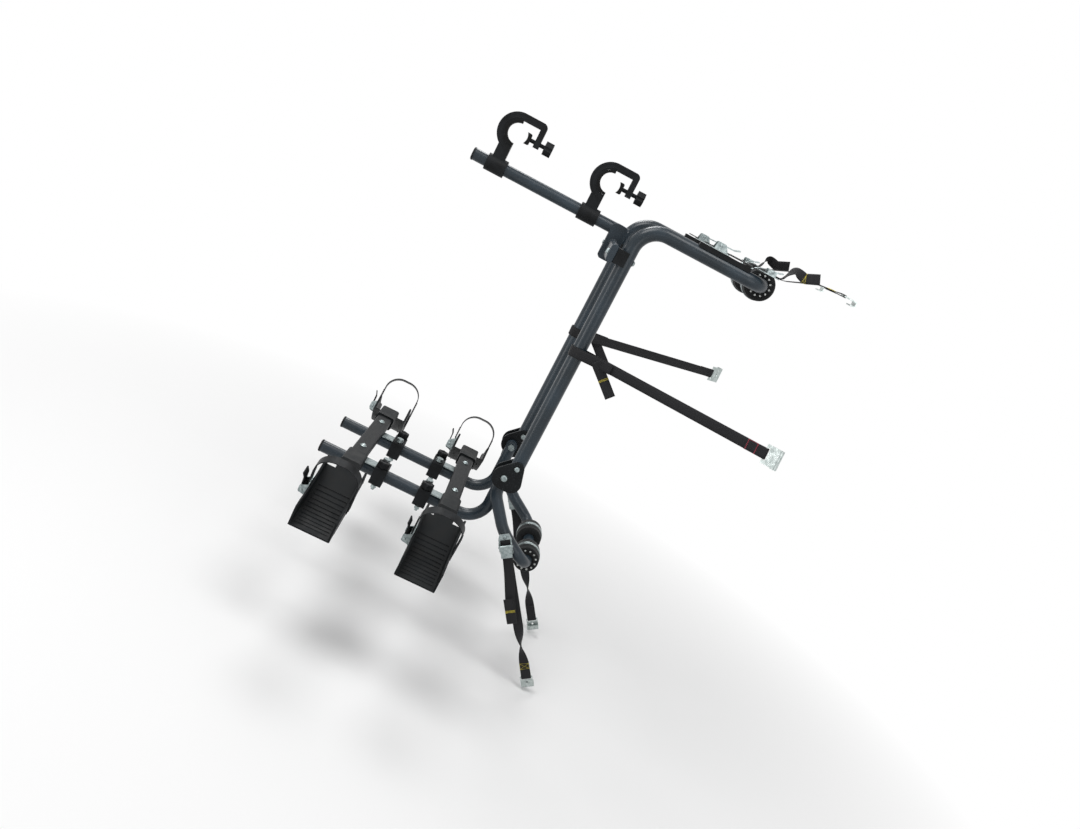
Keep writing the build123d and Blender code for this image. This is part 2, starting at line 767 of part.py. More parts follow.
arm_plane = Plane(origin=(hoop_half_width, arm_ratchet_y, guide_top_z), x_dir=(0, 1, 0), z_dir=(0, 0, 1))
ladder_mid_z = guide_top_z + strap_floor + ladder_t / 2
arm_strap_start = arm_guide_start_y + arm_strap_inset
with BuildPart() as arm_ladder:
    with BuildSketch(Plane.XY.offset(guide_top_z + strap_floor)):
        with Locations((hoop_half_width, (arm_strap_start + arm_strap_reach) / 2)):
            RectangleRounded(ladder_width, arm_strap_reach - arm_strap_start, tooth_margin)
    extrude(amount=ladder_t)
    with BuildSketch(Plane.YZ.offset(hoop_half_width)):
        for step in range(arm_teeth_count):
            along = arm_ratchet_y + arm_teeth_start + step * ladder_pitch
            with Locations((along, ladder_mid_z + (ladder_t + tooth_h) / 2)):
                Rectangle(ladder_pitch / 2, tooth_h + 2 * tooth_root)
    extrude(amount=ladder_width / 2 - tooth_margin, both=True)
pair(arm_ladder.part, "arm_toothed_straps")
pair(ratchet_frame(arm_plane), "arm_ratchets")
arm_lever = ratchet_lever(arm_plane)
mirrored(arm_lever, "arm_lever_left")
save(arm_lever, "arm_lever_right")

# Cam buckles: a plate with ears and a pin, and a lever whose round cam presses on the webbing

web_floor = buckle_t + side_gap
cam_height = web_floor + webbing_t + side_gap + cam_r
cam_u = buckle_length - buckle_ear_l


def cam_frame(plane):
    """The buckle's frame on a plane whose X runs along the webbing's pull."""
    with BuildPart() as frame:
        with BuildSketch(plane):
            with BuildLine():
                FilletPolyline(
                    (0, -buckle_nose[1]), (0, buckle_nose[1]), (buckle_nose[0], buckle_width / 2),
                    (buckle_length, buckle_width / 2), (buckle_length, -buckle_width / 2),
                    (buckle_nose[0], -buckle_width / 2), radius=buckle_corner_r, close=True,
                )
            make_face()
            with Locations((buckle_hole_u, 0)):
                Circle(buckle_hole_d / 2, mode=Mode.SUBTRACT)
        extrude(amount=buckle_t)
        side_plane = Plane(origin=plane.origin, x_dir=plane.x_dir, z_dir=-plane.y_dir)
        for side in (-1, 1):
            with BuildSketch(side_plane.offset(side * (buckle_width - buckle_t) / 2)):
                with Locations((cam_u, buckle_ear_h / 2)):
                    RectangleRounded(buckle_ear_l, buckle_ear_h, buckle_corner_r)
            extrude(amount=buckle_t / 2, both=True)
        with BuildSketch(side_plane):
            with Locations((cam_u, cam_height)):
                Circle(buckle_pin_d / 2)
        extrude(amount=buckle_width / 2, both=True)
    return frame.part


def cam_lever(plane):
    """The lever: a cam round the pin and a thumb plate over the frame's end."""
    side_plane = Plane(origin=plane.origin, x_dir=plane.x_dir, z_dir=-plane.y_dir)
    half = buckle_width / 2 - buckle_t - side_gap
    with BuildPart() as lever:
        with BuildSketch(side_plane):
            with Locations((cam_u, cam_height)):
                Circle(cam_r)
        extrude(amount=half, both=True)
        with BuildSketch(side_plane):
            with BuildLine():
                FilletPolyline(
                    (cam_u - cam_lever_rise[0], cam_height + cam_lever_rise[0]),
                    (cam_u + cam_lever_reach[0], cam_height + cam_lever_rise[1]),
                    (cam_u + cam_lever_reach[1], cam_height + cam_lever_rise[2]), radius=cam_lever_r,
                )
            trace(line_width=cam_lever_t)
        extrude(amount=half, both=True)
        with BuildSketch(side_plane):
            with Locations((cam_u, cam_height)):
                Circle(buckle_pin_d / 2 + running_gap)
        extrude(amount=half, both=True, mode=Mode.SUBTRACT)
    return lever.part


def strap_hook(plane, width, length):
    """A sheet hook that grips a panel's edge, with a slot for the webbing's loop."""
    with BuildPart() as hook:
        with BuildSketch(plane):
            with BuildLine():
                FilletPolyline(
                    (0, 0), (length, 0), (length, -hook_return), (length - hook_return, -hook_return),
                    radius=hook_bend_r,
                )
            trace(line_width=hook_t)
        extrude(amount=width / 2, both=True)
        face_plane = Plane(origin=plane.origin, x_dir=plane.x_dir, z_dir=-plane.y_dir)
        with BuildSketch(face_plane):
            with Locations((hook_slot_u, 0)):
                SlotOverall(webbing_width + 4, hook_slot_w, rotation=90)
            with Locations((length - hook_hole_u, 0)):
                Circle(hook_hole_d / 2)
        extrude(amount=hook_t, both=True, mode=Mode.SUBTRACT)
    return hook.part


def gather(*shapes):
    """Several separate solids as one shape."""
    return Compound(children=[s for shape in shapes for s in shape.solids()])


# Top straps: from the ends of the hoop's arms forward over the car's edge

top_plane = Plane(
    origin=(hoop_half_width, top_buckle_y, guide_top_z + strap_floor + ladder_t + side_gap),
    x_dir=(0, 1, 0), z_dir=(0, 0, 1),
)
pair(cam_frame(top_plane), "top_buckles")
top_lever = cam_lever(top_plane)
mirrored(top_lever, "top_lever_left")
save(top_lever, "top_lever_right")

strap_plane = Plane.YZ.offset(hoop_half_width)
top_web_z = top_plane.origin.Z + web_floor + webbing_t / 2
top_web_y = top_plane.origin.Y + web_start_u
top_run = strip(
    strap_plane,
    [(top_web_y, top_web_z), (top_web_y + top_strap_flat, top_web_z), top_strap_edge,
     (top_strap_end_y, top_strap_end_z)],
    top_strap_bend_r, webbing_width, webbing_t,
)
web_step = webbing_t + side_gap
tail_y = top_buckle_y + buckle_length + top_tail_start
top_tail = strip(
    strap_plane,
    [(tail_y, top_web_z + web_step), *((tail_y + along, guide_top_z + rise) for along, rise in top_tail_bends)],
    tail_fold_r, webbing_width, webbing_t,
)
pair(gather(top_run, top_tail), "top_straps")
top_hook_plane = Plane(
    origin=(hoop_half_width, top_strap_end_y + side_gap, top_strap_end_z), x_dir=(0, 1, 0), z_dir=(1, 0, 0),
)

# Side straps: a loop round each upright, then a tight run to the hook on the car's side

hook_point = Vector(*side_hook)
wrap_point = Vector(hoop_half_width, upright_y, side_strap_z)
pull = (hook_point - wrap_point).normalized()
across_web = (Vector(0, 0, 1) - pull * pull.Z).normalized()
side_plane = Plane(origin=wrap_point, x_dir=pull, z_dir=across_web)
side_length = (hook_point - wrap_point).length
wrap_r = upper_tube_d / 2 + webbing_t / 2 + 1
side_run = strip(
    side_plane,
    [(side_length, 0), (-wrap_r, wrap_r), (-wrap_r, -wrap_r), (side_loop_back_u, -wrap_r), side_loop_end],
    [wrap_r - 1, wrap_r - 1, side_loop_r], webbing_width, webbing_t,
)
tail_plane = Plane(
    origin=wrap_point + pull * side_tail_u + Vector(*side_tail_shift),
    x_dir=side_tail_along, z_dir=side_tail_across,
)
side_tail = strip(
    tail_plane, [(0, 0), (side_tail_l / 2, hook_t), (side_tail_l, -hook_t)],
    top_strap_bend_r, webbing_width, webbing_t,
)
pair(gather(side_run, side_tail), "side_straps")
side_hook_plane = Plane(origin=hook_point + pull * side_gap, x_dir=pull, z_dir=across_web)
side_hook_part = strap_hook(side_hook_plane, *side_hook_size)
top_hook_part = strap_hook(top_hook_plane, *top_hook_size)
pair(gather(top_hook_part, side_hook_part), "upper_hooks")

# Lower straps: a cam buckle bolted to each arm of the lower hoop, the webbing and its hook

lower_anchor = Vector(hoop_half_width + lower_tube_d / 2 + side_gap, lower_anchor_y, lower_anchor_z)
low_pull = (Vector(lower_anchor.X, *lower_strap_end) - lower_anchor).normalized()
low_plane = Plane(origin=lower_anchor - low_pull * buckle_hole_u, x_dir=low_pull, z_dir=(1, 0, 0))
pair(cam_frame(low_plane), "lower_buckles")
low_lever = cam_lever(low_plane)
mirrored(low_lever, "lower_lever_left")
save(low_lever, "lower_lever_right")

low_web_plane = Plane(origin=low_plane.origin, x_dir=low_pull, z_dir=Vector(1, 0, 0).cross(low_pull) * -1)
low_side = 1 if low_web_plane.y_dir.X > 0 else -1
low_length = (Vector(lower_anchor.X, *lower_strap_end) - low_plane.origin).length
web_mid = web_floor + webbing_t / 2
low_run = strip(
    low_web_plane,
    [(web_start_u, low_side * web_mid), (lower_strap_flat_u, low_side * web_mid),
     (low_length, low_side * (web_mid - lower_strap_drop))],
    lower_strap_bend_r, webbing_width, webbing_t,
)
low_tail = strip(
    low_web_plane,
    [(lower_tail_start_u, low_side * (web_mid + web_step)),
     *((along, low_side * (web_mid + rise)) for along, rise in lower_tail_bends)],
    list(lower_tail_radii), webbing_width, webbing_t,
)
pair(gather(low_run, low_tail), "lower_straps")
low_hook_plane = Plane(
    origin=low_plane.origin + low_pull * (low_length + side_gap) + Vector(web_mid - lower_strap_drop, 0, 0),
    x_dir=low_pull, z_dir=low_web_plane.z_dir,
)
pair(strap_hook(low_hook_plane, *lower_hook_size), "lower_hooks")

# Foam pads with a ring of holes in the outer end, and a band round the middle of each


def make_pads(level, bar_y, bar_z, bar_d, diameter, elbow_r):
    """The two pads of one hoop's cross bar and their bands."""
    end_x = hoop_half_width - elbow_r - pad_end_gap
    start_x = end_x - pad_length
    with BuildPart() as pad:
        with BuildSketch(Plane.YZ.offset(start_x)):
            with Locations((bar_y, bar_z)):
                Circle(diameter / 2)
                Circle(bar_d / 2 + pad_gap, mode=Mode.SUBTRACT)
        extrude(amount=pad_length)
        fillet(pad.faces().filter_by(Axis.X).edges().filter_by(
            lambda edge: edge.radius > bar_d / 2 + pad_round), pad_round)
        with BuildSketch(Plane.YZ.offset(end_x)):
            with Locations((bar_y, bar_z)):
                with PolarLocations(pad_hole_pcd / 2, pad_holes):
                    Circle(pad_hole_d / 2)
        extrude(amount=-pad_hole_depth, mode=Mode.SUBTRACT)
    pair(pad.part, f"{level}_pads")
    with BuildPart() as band:
        with BuildSketch(Plane.YZ.offset(end_x - pad_length / 2 - band_width / 2)):
            with Locations((bar_y, bar_z)):
                Circle(diameter / 2 + band_gap + band_t)
                Circle(diameter / 2 + band_gap, mode=Mode.SUBTRACT)
        extrude(amount=band_width)
    pair(band.part, f"{level}_pad_bands")


make_pads("upper", upper_bar_y, upper_arm_z, upper_tube_d, upper_pad_d, upper_elbow_r)
make_pads("lower", *lower_bar, lower_tube_d, lower_pad_d, lower_elbow_r)

# Frame clamps: a collar on the holding arm, a hooked jaw, a soft seat, and a screw with its shoe


def make_frame_clamp(row, plane_y):
    """One clamp for a bike's frame tube, which runs along X through its jaws."""
    grip_r = frame_tube_r + seat_t
    outer_r = grip_r + grip_wall
    arm_y = plane_y + grip_reach
    with BuildPart() as body:
        with BuildSketch(Plane.YZ):
            with Locations((plane_y, grip_z)):
                Circle(outer_r)
            with Locations((plane_y + (grip_reach + boss_end) / 2, grip_z + outer_r / 2)):
                Rectangle(grip_reach + boss_end, outer_r)
            with Locations((arm_y + boss_end - throat_plug / 2, grip_z)):
                Rectangle(throat_plug, 2 * throat_drop)
            with Locations((plane_y - neck_offset, (grip_z - outer_r + holding_arm_z + neck_root) / 2)):
                Rectangle(neck_width, grip_z - outer_r - holding_arm_z + neck_root)
            with Locations((plane_y, grip_z)):
                Circle(grip_r, mode=Mode.SUBTRACT)
            with Locations((plane_y + grip_reach / 2, grip_z)):
                Rectangle(grip_reach, 2 * grip_r, mode=Mode.SUBTRACT)
            with Locations((plane_y + outer_r, grip_z - throat_drop - outer_r)):
                Rectangle(2 * outer_r, 2 * outer_r, mode=Mode.SUBTRACT)
        extrude(amount=grip_width / 2, both=True)
        with BuildSketch(Plane.XZ.offset(-(plane_y - neck_offset + collar_length / 2))):
            with Locations((0, holding_arm_z)):
                Circle(holding_arm_d / 2 + collar_wall)
        extrude(amount=collar_length)
        fillet(body.edges().filter_by(Axis.X).group_by(Axis.Z)[-1], jaw_round)
        with BuildSketch(Plane.XZ.offset(-plane_y)):
            with Locations((0, holding_arm_z)):
                Circle(holding_arm_d / 2 + side_gap)
        extrude(amount=collar_length + neck_offset, both=True, mode=Mode.SUBTRACT)
        with BuildSketch(Plane.XZ.offset(-(arm_y + boss_end - throat_plug / 2))):
            with Locations((0, grip_z)):
                Circle(screw_d / 2 + running_gap)
        extrude(amount=throat_plug, both=True, mode=Mode.SUBTRACT)
    save(body.part, f"{row}_clamp_body")

    with BuildPart() as seat:
        with BuildSketch(Plane.YZ):
            with Locations((plane_y, grip_z)):
                Circle(grip_r - seat_press)
                Circle(frame_tube_r, mode=Mode.SUBTRACT)
            with Locations((plane_y + grip_r, grip_z)):
                Rectangle(2 * grip_r, 2 * grip_r, mode=Mode.SUBTRACT)
        extrude(amount=grip_width / 2 + seat_overlap, both=True)
    save(seat.part, f"{row}_clamp_seat")

    shoe_back = plane_y + frame_tube_r + shoe_t
    with BuildPart() as shoe:
        with BuildSketch(Plane.YZ):
            with Locations((shoe_back - shoe_depth / 2, grip_z)):
                RectangleRounded(shoe_depth, shoe_h, shoe_socket)
            with Locations((plane_y, grip_z)):
                Circle(frame_tube_r + seat_press, mode=Mode.SUBTRACT)
        extrude(amount=grip_width / 2, both=True)
        with BuildSketch(Plane.XZ.offset(-shoe_back)):
            with Locations((0, grip_z)):
                Circle(screw_d / 2 + running_gap)
        extrude(amount=shoe_socket, mode=Mode.SUBTRACT)
    save(shoe.part, f"{row}_clamp_shoe")

    knob_y = arm_y + boss_end + screw_travel + 2
    with BuildPart() as screw:
        with BuildSketch(Plane.XZ.offset(-(shoe_back - shoe_socket + side_gap))):
            with Locations((0, grip_z)):
                Circle(screw_d / 2)
        extrude(amount=-(knob_y - shoe_back + shoe_socket))
        with BuildSketch(Plane.XZ.offset(-knob_y)):
            with Locations((0, grip_z)):
                Circle(knob_d / 2)
                with PolarLocations((knob_d + knob_lobe_r) / 2, knob_lobes):
                    Circle(knob_lobe_r, mode=Mode.SUBTRACT)
        extrude(amount=-knob_length)
    save(screw.part, f"{row}_clamp_screw")


make_frame_clamp("inner", wheel_plane_inner)
make_frame_clamp("outer", wheel_plane_outer)
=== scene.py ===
# %% [markdown]
# # A strap-on bike carrier, dressed for its picture
# The carrier's solids come packed from the CAD side. This lesson loads them, gives each one a
# finish, and builds the soft and fine things that CAD leaves plain: webbing, foam rollers,
# stitches, rivets, weld beads and moulded ribs. Every length is in metres.

# %% Load the fixed frame
import json
import math

import bmesh
import bpy
from mathutils import Matrix, Vector


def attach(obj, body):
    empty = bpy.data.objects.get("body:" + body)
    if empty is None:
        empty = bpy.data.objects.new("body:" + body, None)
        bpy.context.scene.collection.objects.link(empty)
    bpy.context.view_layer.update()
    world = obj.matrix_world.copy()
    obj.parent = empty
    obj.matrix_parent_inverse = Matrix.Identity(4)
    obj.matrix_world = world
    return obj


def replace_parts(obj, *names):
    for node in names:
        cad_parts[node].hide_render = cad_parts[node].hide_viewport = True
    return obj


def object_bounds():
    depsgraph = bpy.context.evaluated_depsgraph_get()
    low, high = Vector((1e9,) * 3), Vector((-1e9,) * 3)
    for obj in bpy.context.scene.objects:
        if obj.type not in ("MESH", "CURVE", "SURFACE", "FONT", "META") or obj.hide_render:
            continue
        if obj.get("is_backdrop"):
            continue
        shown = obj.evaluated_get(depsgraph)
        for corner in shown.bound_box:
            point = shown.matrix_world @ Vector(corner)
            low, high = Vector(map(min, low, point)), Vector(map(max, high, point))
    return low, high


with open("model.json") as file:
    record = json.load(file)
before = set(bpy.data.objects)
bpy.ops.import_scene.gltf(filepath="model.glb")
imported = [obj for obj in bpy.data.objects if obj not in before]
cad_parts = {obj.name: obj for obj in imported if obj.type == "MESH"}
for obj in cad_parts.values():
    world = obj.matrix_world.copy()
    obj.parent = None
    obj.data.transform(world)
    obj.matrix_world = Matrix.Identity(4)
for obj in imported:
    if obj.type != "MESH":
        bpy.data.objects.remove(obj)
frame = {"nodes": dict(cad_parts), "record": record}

mm = 0.001
cad_low, cad_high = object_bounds()
print("nodes:", len(frame["nodes"]), "box:", [round(v, 3) for v in (*cad_low, *cad_high)])

# %% [markdown]
# ## The camera
# The picture was taken from the carrier's right, a little from behind and above, and the camera
# was tilted, so the carrier leans in the frame. A camera is a place and three directions: right,
# up and back. They were fitted to points of the photograph, so they are written as numbers
# rather than turned by eye.


# %% Camera
def put(name, data):
    """An object at the origin that holds the data, linked to the scene."""
    thing = bpy.data.objects.new(name, data)
    bpy.context.scene.collection.objects.link(thing)
    return thing


view_place = (2.5551, -0.1759, 0.7146)
view_right = Vector((0.0027, 0.8873, 0.4612)).normalized()
view_back = Vector((0.9672, -0.1195, 0.2243)).normalized()
view_up = view_back.cross(view_right).normalized()
view_right = view_up.cross(view_back)
view_turn = Matrix((view_right, view_up, view_back)).transposed()
camera = put("camera", bpy.data.cameras.new("camera"))
camera.matrix_world = Matrix.Translation(view_place) @ view_turn.to_4x4()
camera.data.lens, camera.data.sensor_width = 34.1, 36.0
camera.data.shift_x, camera.data.shift_y = -0.0355, 0.0252
bpy.context.scene.camera = camera
print("camera looks along", [round(-v, 3) for v in view_back])

# %% [markdown]
# ## Colours and nodes
# A colour picked from a picture is an sRGB value, and Blender's sockets want linear light. One
# function turns hex text into a linear colour. One more adds a node with its settings and links,
# so that a material reads as a short list. A node that is given as an input stands for its first
# live output. The Mix node takes its factor at input 0 and its two colours at inputs 6 and 7.


# %% Colour and node helpers
def paint(code):
    """Linear colour with alpha from sRGB hex text."""
    parts = [int(code[i:i + 2], 16) / 255 for i in (1, 3, 5)]
    return (*[v / 12.92 if v <= 0.04045 else ((v + 0.055) / 1.055) ** 2.4 for v in parts], 1.0)


def link(tree, source, socket):
    """Links a socket, or a node's first live output, to an input."""
    if isinstance(source, bpy.types.Node):
        source = next(output for output in source.outputs if output.enabled)
    tree.links.new(source, socket)


def node(tree, kind, inputs=None, **settings):
    """Adds a node, sets its properties, and sets or links its inputs. Hex text is a colour."""
    made = tree.nodes.new(kind)
    for key, value in settings.items():
        setattr(made, key, value)
    for key, value in (inputs or {}).items():
        if isinstance(value, (bpy.types.Node, bpy.types.NodeSocket)):
            link(tree, value, made.inputs[key])
        else:
            is_colour = isinstance(value, str) and value.startswith("#")
            made.inputs[key].default_value = paint(value) if is_colour else value
    return made


print("mid grey is", round(paint("#808080")[0], 3), "in linear light")

# %% [markdown]
# Every finish is built alike: a shader with its plain values, a pattern or two, and then their
# links. The pieces sit at the origin, so Object coordinates are the carrier's own frame in
# metres, and a pattern's size can be said in millimetres.


# %% Material helpers
def new_material(name, colour, roughness, **sockets):
    """A material with one Principled shader, and the object coordinates for its patterns."""
    made = bpy.data.materials.new(name)
    made.use_nodes = True
    tree = made.node_tree
    tree.nodes.clear()
    shader = node(tree, "ShaderNodeBsdfPrincipled", {"Base Color": colour, "Roughness": roughness})
    for key, value in sockets.items():
        shader.inputs[key.replace("_", " ")].default_value = value
    node(tree, "ShaderNodeOutputMaterial", {"Surface": shader})
    return made, tree, shader, node(tree, "ShaderNodeTexCoord").outputs["Object"]


def speckle(tree, vector, size, detail=2.0, low=0.35, high=0.65):
    """Noise whose lumps are about one size in metres, stretched to the full range."""
    noise = node(tree, "ShaderNodeTexNoise", {"Vector": vector, "Scale": 1 / size, "Detail": detail})
    return node(tree, "ShaderNodeMapRange", {"Value": noise, "From Min": low, "From Max": high})


def rubbed_edges(tree, colour, paler, reach, patches):
    """Lays a worn tone over a colour where the surface turns sharply, broken up by patches."""
    turn_starts, turn_sharp, most_worn = 0.985, 0.87, 0.75
    rounded = node(tree, "ShaderNodeBevel", {"Radius": reach}, samples=6)
    flat = node(tree, "ShaderNodeNewGeometry").outputs["Normal"]
    turn = node(tree, "ShaderNodeVectorMath", {0: rounded, 1: flat}, operation="DOT_PRODUCT")
    edge = node(tree, "ShaderNodeMapRange", {
        "Value": turn, "From Min": turn_starts, "From Max": turn_sharp})
    share = node(tree, "ShaderNodeMath", {0: edge, 1: patches}, operation="MULTIPLY")
    amount = node(tree, "ShaderNodeMapRange", {"Value": share, "To Max": most_worn})
    return node(tree, "ShaderNodeMix", {0: amount, 6: colour, 7: paler}, data_type="RGBA")


def finish(tree, shader, colour, relief=None, gloss=None):
    """Links a colour, a relief (height, depth in metres) and a roughness (factor, low, high)."""
    link(tree, colour, shader.inputs["Base Color"])
    if relief:
        height, depth = relief
        bump = node(tree, "ShaderNodeBump", {"Height": height, "Distance": depth})
        link(tree, bump, shader.inputs["Normal"])
    if gloss:
        factor, low, high = gloss
        rough = node(tree, "ShaderNodeMapRange", {"Value": factor, "To Min": low, "To Max": high})
        link(tree, rough, shader.inputs["Roughness"])


print("material helpers ready")

# %% [markdown]
# ## Finishes of the metal pieces
# The frame is steel tube, blasted and powder coated in a satin blue grey. Powder coat melts into
# a skin with a faint orange peel, here about 1.6 mm from crest to crest, and its colour drifts
# very little. A few specks of dust and rubbed edges show its use. The joint plates have the same
# coat in black.

# %% Powder coat
coats = {}
for name, first, second, rough, gleam in (
    ("powder_coat_grey", "#19232a", "#243039", 0.31, 0.38),
    ("powder_coat_black", "#0a0c0e", "#121517", 0.42, 0.16),
):
    coats[name], tree, shader, where = new_material(name, first, rough, Specular_IOR_Level=gleam)
    drift = speckle(tree, where, 90 * mm, 3.0)
    dust = speckle(tree, where, 2.2 * mm, 1.0, 0.62, 0.75)
    peel = speckle(tree, where, 1.6 * mm, 1.0, 0.2, 0.8)
    tint = node(tree, "ShaderNodeMix", {0: drift, 6: first, 7: second}, data_type="RGBA")
    faint = node(tree, "ShaderNodeMapRange", {"Value": dust, "To Max": 0.10})
    dusty = node(tree, "ShaderNodeMix", {0: faint, 6: tint, 7: "#9aa4ab"}, data_type="RGBA")
    rubbed = rubbed_edges(tree, dusty, "#5d666d", 1.2 * mm, speckle(tree, where, 6 * mm, 3.0))
    finish(tree, shader, rubbed, (peel, 0.025 * mm), (drift, rough - 0.05, rough + 0.06))
print("coats:", sorted(coats))

# %% [markdown]
# Buckles, ratchets and bolts are pressed steel with zinc plate, and the hooks have a brighter
# one. Zinc plate is a pale metal with soft cloudy patches of a few millimetres, and it dulls
# unevenly, so the roughness varies more than the colour. Drawing the steel leaves fine lines. A
# metal's colour is its reflection, and it keeps the default IOR.

# %% Zinc plate
plated = {}
for name, first, second in (("zinc_plated_steel", "#a2acac", "#7f898a"),
                            ("bright_zinc_plate", "#c0c8c6", "#a3acaa")):
    plated[name], tree, shader, where = new_material(name, first, 0.3, Metallic=1.0)
    cloud = speckle(tree, where, 7 * mm, 4.0)
    drawn = node(tree, "ShaderNodeMapping", {"Vector": where, "Scale": (1.0, 12.0, 12.0)})
    lines = speckle(tree, drawn, 3 * mm, 2.0)
    spangle = node(tree, "ShaderNodeMix", {0: cloud, 6: first, 7: second}, data_type="RGBA")
    rubbed = rubbed_edges(tree, spangle, "#dde1df", 0.8 * mm, cloud)
    finish(tree, shader, rubbed, (lines, 0.03 * mm), (cloud, 0.26, 0.44))
print("plates:", sorted(plated))

# %% [markdown]
# The two rails are extruded aluminium, anodised black. The dyed skin hides most of the metal, so
# little of its mirror is left. Extrusion leaves fine lines that run the whole length of the bar,
# so the noise is stretched forty times along X. The lines are really 0.1 mm apart, and are drawn
# 0.8 mm apart so that they show.

# %% Anodised aluminium
anodised, tree, shader, where = new_material(
    "anodised_aluminium_black", "#101214", 0.5, Metallic=0.15, Specular_IOR_Level=0.12)
stretched = node(tree, "ShaderNodeMapping", {"Vector": where, "Scale": (0.025, 1.0, 1.0)})
lines = speckle(tree, stretched, 0.8 * mm, 2.0)
dyed = node(tree, "ShaderNodeMix", {0: lines, 6: "#0b0c0e", 7: "#17191b"}, data_type="RGBA")
finish(tree, shader, dyed, (lines, 0.03 * mm), (lines, 0.44, 0.56))
print("made", anodised.name)

# %% [markdown]
# ## Finishes of the plastic pieces
# Clamp blocks, levers and caps are glass-filled nylon moulded in a spark-eroded tool, which
# leaves a fine grain of about 0.7 mm. The cups at the rails' ends are polypropylene, as dull but
# smoother, with faint flow marks where the melt met. The toothed straps are cast polyurethane,
# and the clamps' linings are rubber.

# %% Moulded plastics
plastics = {}
for name, first, second, rough, grain, depth in (
    ("moulded_nylon_black", "#101112", "#1b1d1f", 0.55, 0.7 * mm, 0.06 * mm),
    ("moulded_polypropylene", "#0c0e0f", "#141719", 0.54, 1.4 * mm, 0.03 * mm),
    ("cast_polyurethane", "#151617", "#242628", 0.42, 1.1 * mm, 0.03 * mm),
    ("moulded_rubber", "#0f0f0f", "#1a1a1a", 0.78, 0.9 * mm, 0.07 * mm),
):
    plastics[name], tree, shader, where = new_material(name, first, rough, Specular_IOR_Level=0.14)
    flow = speckle(tree, where, 28 * mm, 3.0)
    pits = speckle(tree, where, grain, 2.0, 0.2, 0.8)
    tint = node(tree, "ShaderNodeMix", {0: flow, 6: first, 7: second}, data_type="RGBA")
    rubbed = rubbed_edges(tree, tint, "#3d4042", 1.0 * mm, speckle(tree, where, 5 * mm, 3.0))
    finish(tree, shader, rubbed, (pits, depth), (flow, rough - 0.06, rough + 0.08))
print("plastics:", sorted(plastics))

# %% [markdown]
# The tops of the teeth of the two straps on the arms are painted pale, a painted highlight where
# the light falls on them, broken up by patches. The straps lie level, so the height alone says what
# is a tooth's top.

# %% Toothed strap with painted highlights
tooth_foot, tooth_top = 717.9 * mm, 718.7 * mm
painted_highlight_strap, tree, shader, where = new_material(
    "polyurethane_painted_highlight", "#1a1b1c", 0.4, Specular_IOR_Level=0.3)
height = node(tree, "ShaderNodeSeparateXYZ", {0: where}).outputs[2]
tops = node(tree, "ShaderNodeMapRange", {
    "Value": height, "From Min": tooth_foot, "From Max": tooth_top})
highlight_patches = speckle(tree, where, 5 * mm, 2.0, 0.1, 0.6)
# Painted highlight: the teeth's tops are mixed towards a pale grey, in patches.
paler = node(tree, "ShaderNodeMath", {0: tops, 1: highlight_patches}, operation="MULTIPLY")
pale = node(tree, "ShaderNodeMix", {0: paler, 6: "#161718", 7: "#b4b9ba"}, data_type="RGBA")
finish(tree, shader, pale, (speckle(tree, where, 1.1 * mm, 2.0, 0.2, 0.8), 0.03 * mm))
print("made", painted_highlight_strap.name)

# %% [markdown]
# The rollers are closed-cell foam. A cut face of foam shows its cells, each about 2.5 mm, as
# shallow pits with walls between them. A Voronoi pattern gives the cells, and the distance from each
# cell's middle gives the pit, which is painted darker than the walls as painted shade. The plugs in
# the rollers' ends are a pale foam.

# %% Cellular foam
foam, tree, shader, where = new_material(
    "closed_cell_foam", "#141516", 0.88, Sheen_Weight=0.1, Specular_IOR_Level=0.2)
cells = node(tree, "ShaderNodeTexVoronoi", {"Vector": where, "Scale": 1 / (2.5 * mm)}, feature="F1")
walls = node(tree, "ShaderNodeMapRange", {"Value": cells, "From Min": 0.2, "From Max": 0.75})
# Painted shade: the pits are darker than the walls between them.
cut_face = node(tree, "ShaderNodeMix", {0: walls, 6: "#0a0a0b", 7: "#1f2122"}, data_type="RGBA")
finish(tree, shader, cut_face, (walls, 0.35 * mm))
plug_foam, tree, shader, where = new_material("pale_foam_plug", "#d5d8d5", 0.7)
fine_cells = speckle(tree, where, 1.2 * mm)
pale = node(tree, "ShaderNodeMix", {0: fine_cells, 6: "#c2c6c3", 7: "#e2e5e2"}, data_type="RGBA")
finish(tree, shader, pale)
print("made", foam.name, "and", plug_foam.name)

# %% [markdown]
# Webbing is woven polyester. Its face has ribs across the strap, about 1.4 mm apart, that slant
# both ways from the middle in a herringbone, and the grooves between ribs and yarns are painted
# darker as painted shade. The strap carries a UV map in metres, U along it and V across it, so the
# ribs follow each bend. The two edges are a tighter, darker selvedge.

# %% Woven webbing
strap_width, strap_thick, selvedge_width = 25 * mm, 1.6 * mm, 1.8 * mm
rib_pitch, yarn_pitch, rib_slant, yarn_share = 1.4 * mm, 1.1 * mm, 0.6, 0.4
webbing, tree, shader, _ = new_material(
    "woven_polyester", "#121214", 0.7, Sheen_Weight=0.12, Sheen_Roughness=0.4,
    Specular_IOR_Level=0.25)
split = node(tree, "ShaderNodeSeparateXYZ", {0: node(tree, "ShaderNodeUVMap", uv_map="weave")})
across = node(tree, "ShaderNodeMath", {0: split.outputs[1]}, operation="ABSOLUTE")
slant = node(tree, "ShaderNodeMath", {0: across, 1: rib_slant, 2: split}, operation="MULTIPLY_ADD")
waves = []
for run, pitch in ((slant, rib_pitch), (across, yarn_pitch)):
    turns = node(tree, "ShaderNodeMath", {0: run, 1: 2 * math.pi / pitch}, operation="MULTIPLY")
    waves.append(node(tree, "ShaderNodeMath", {0: turns}, operation="SINE"))
weave = node(tree, "ShaderNodeMath", {0: waves[1], 1: yarn_share, 2: waves[0]},
             operation="MULTIPLY_ADD")
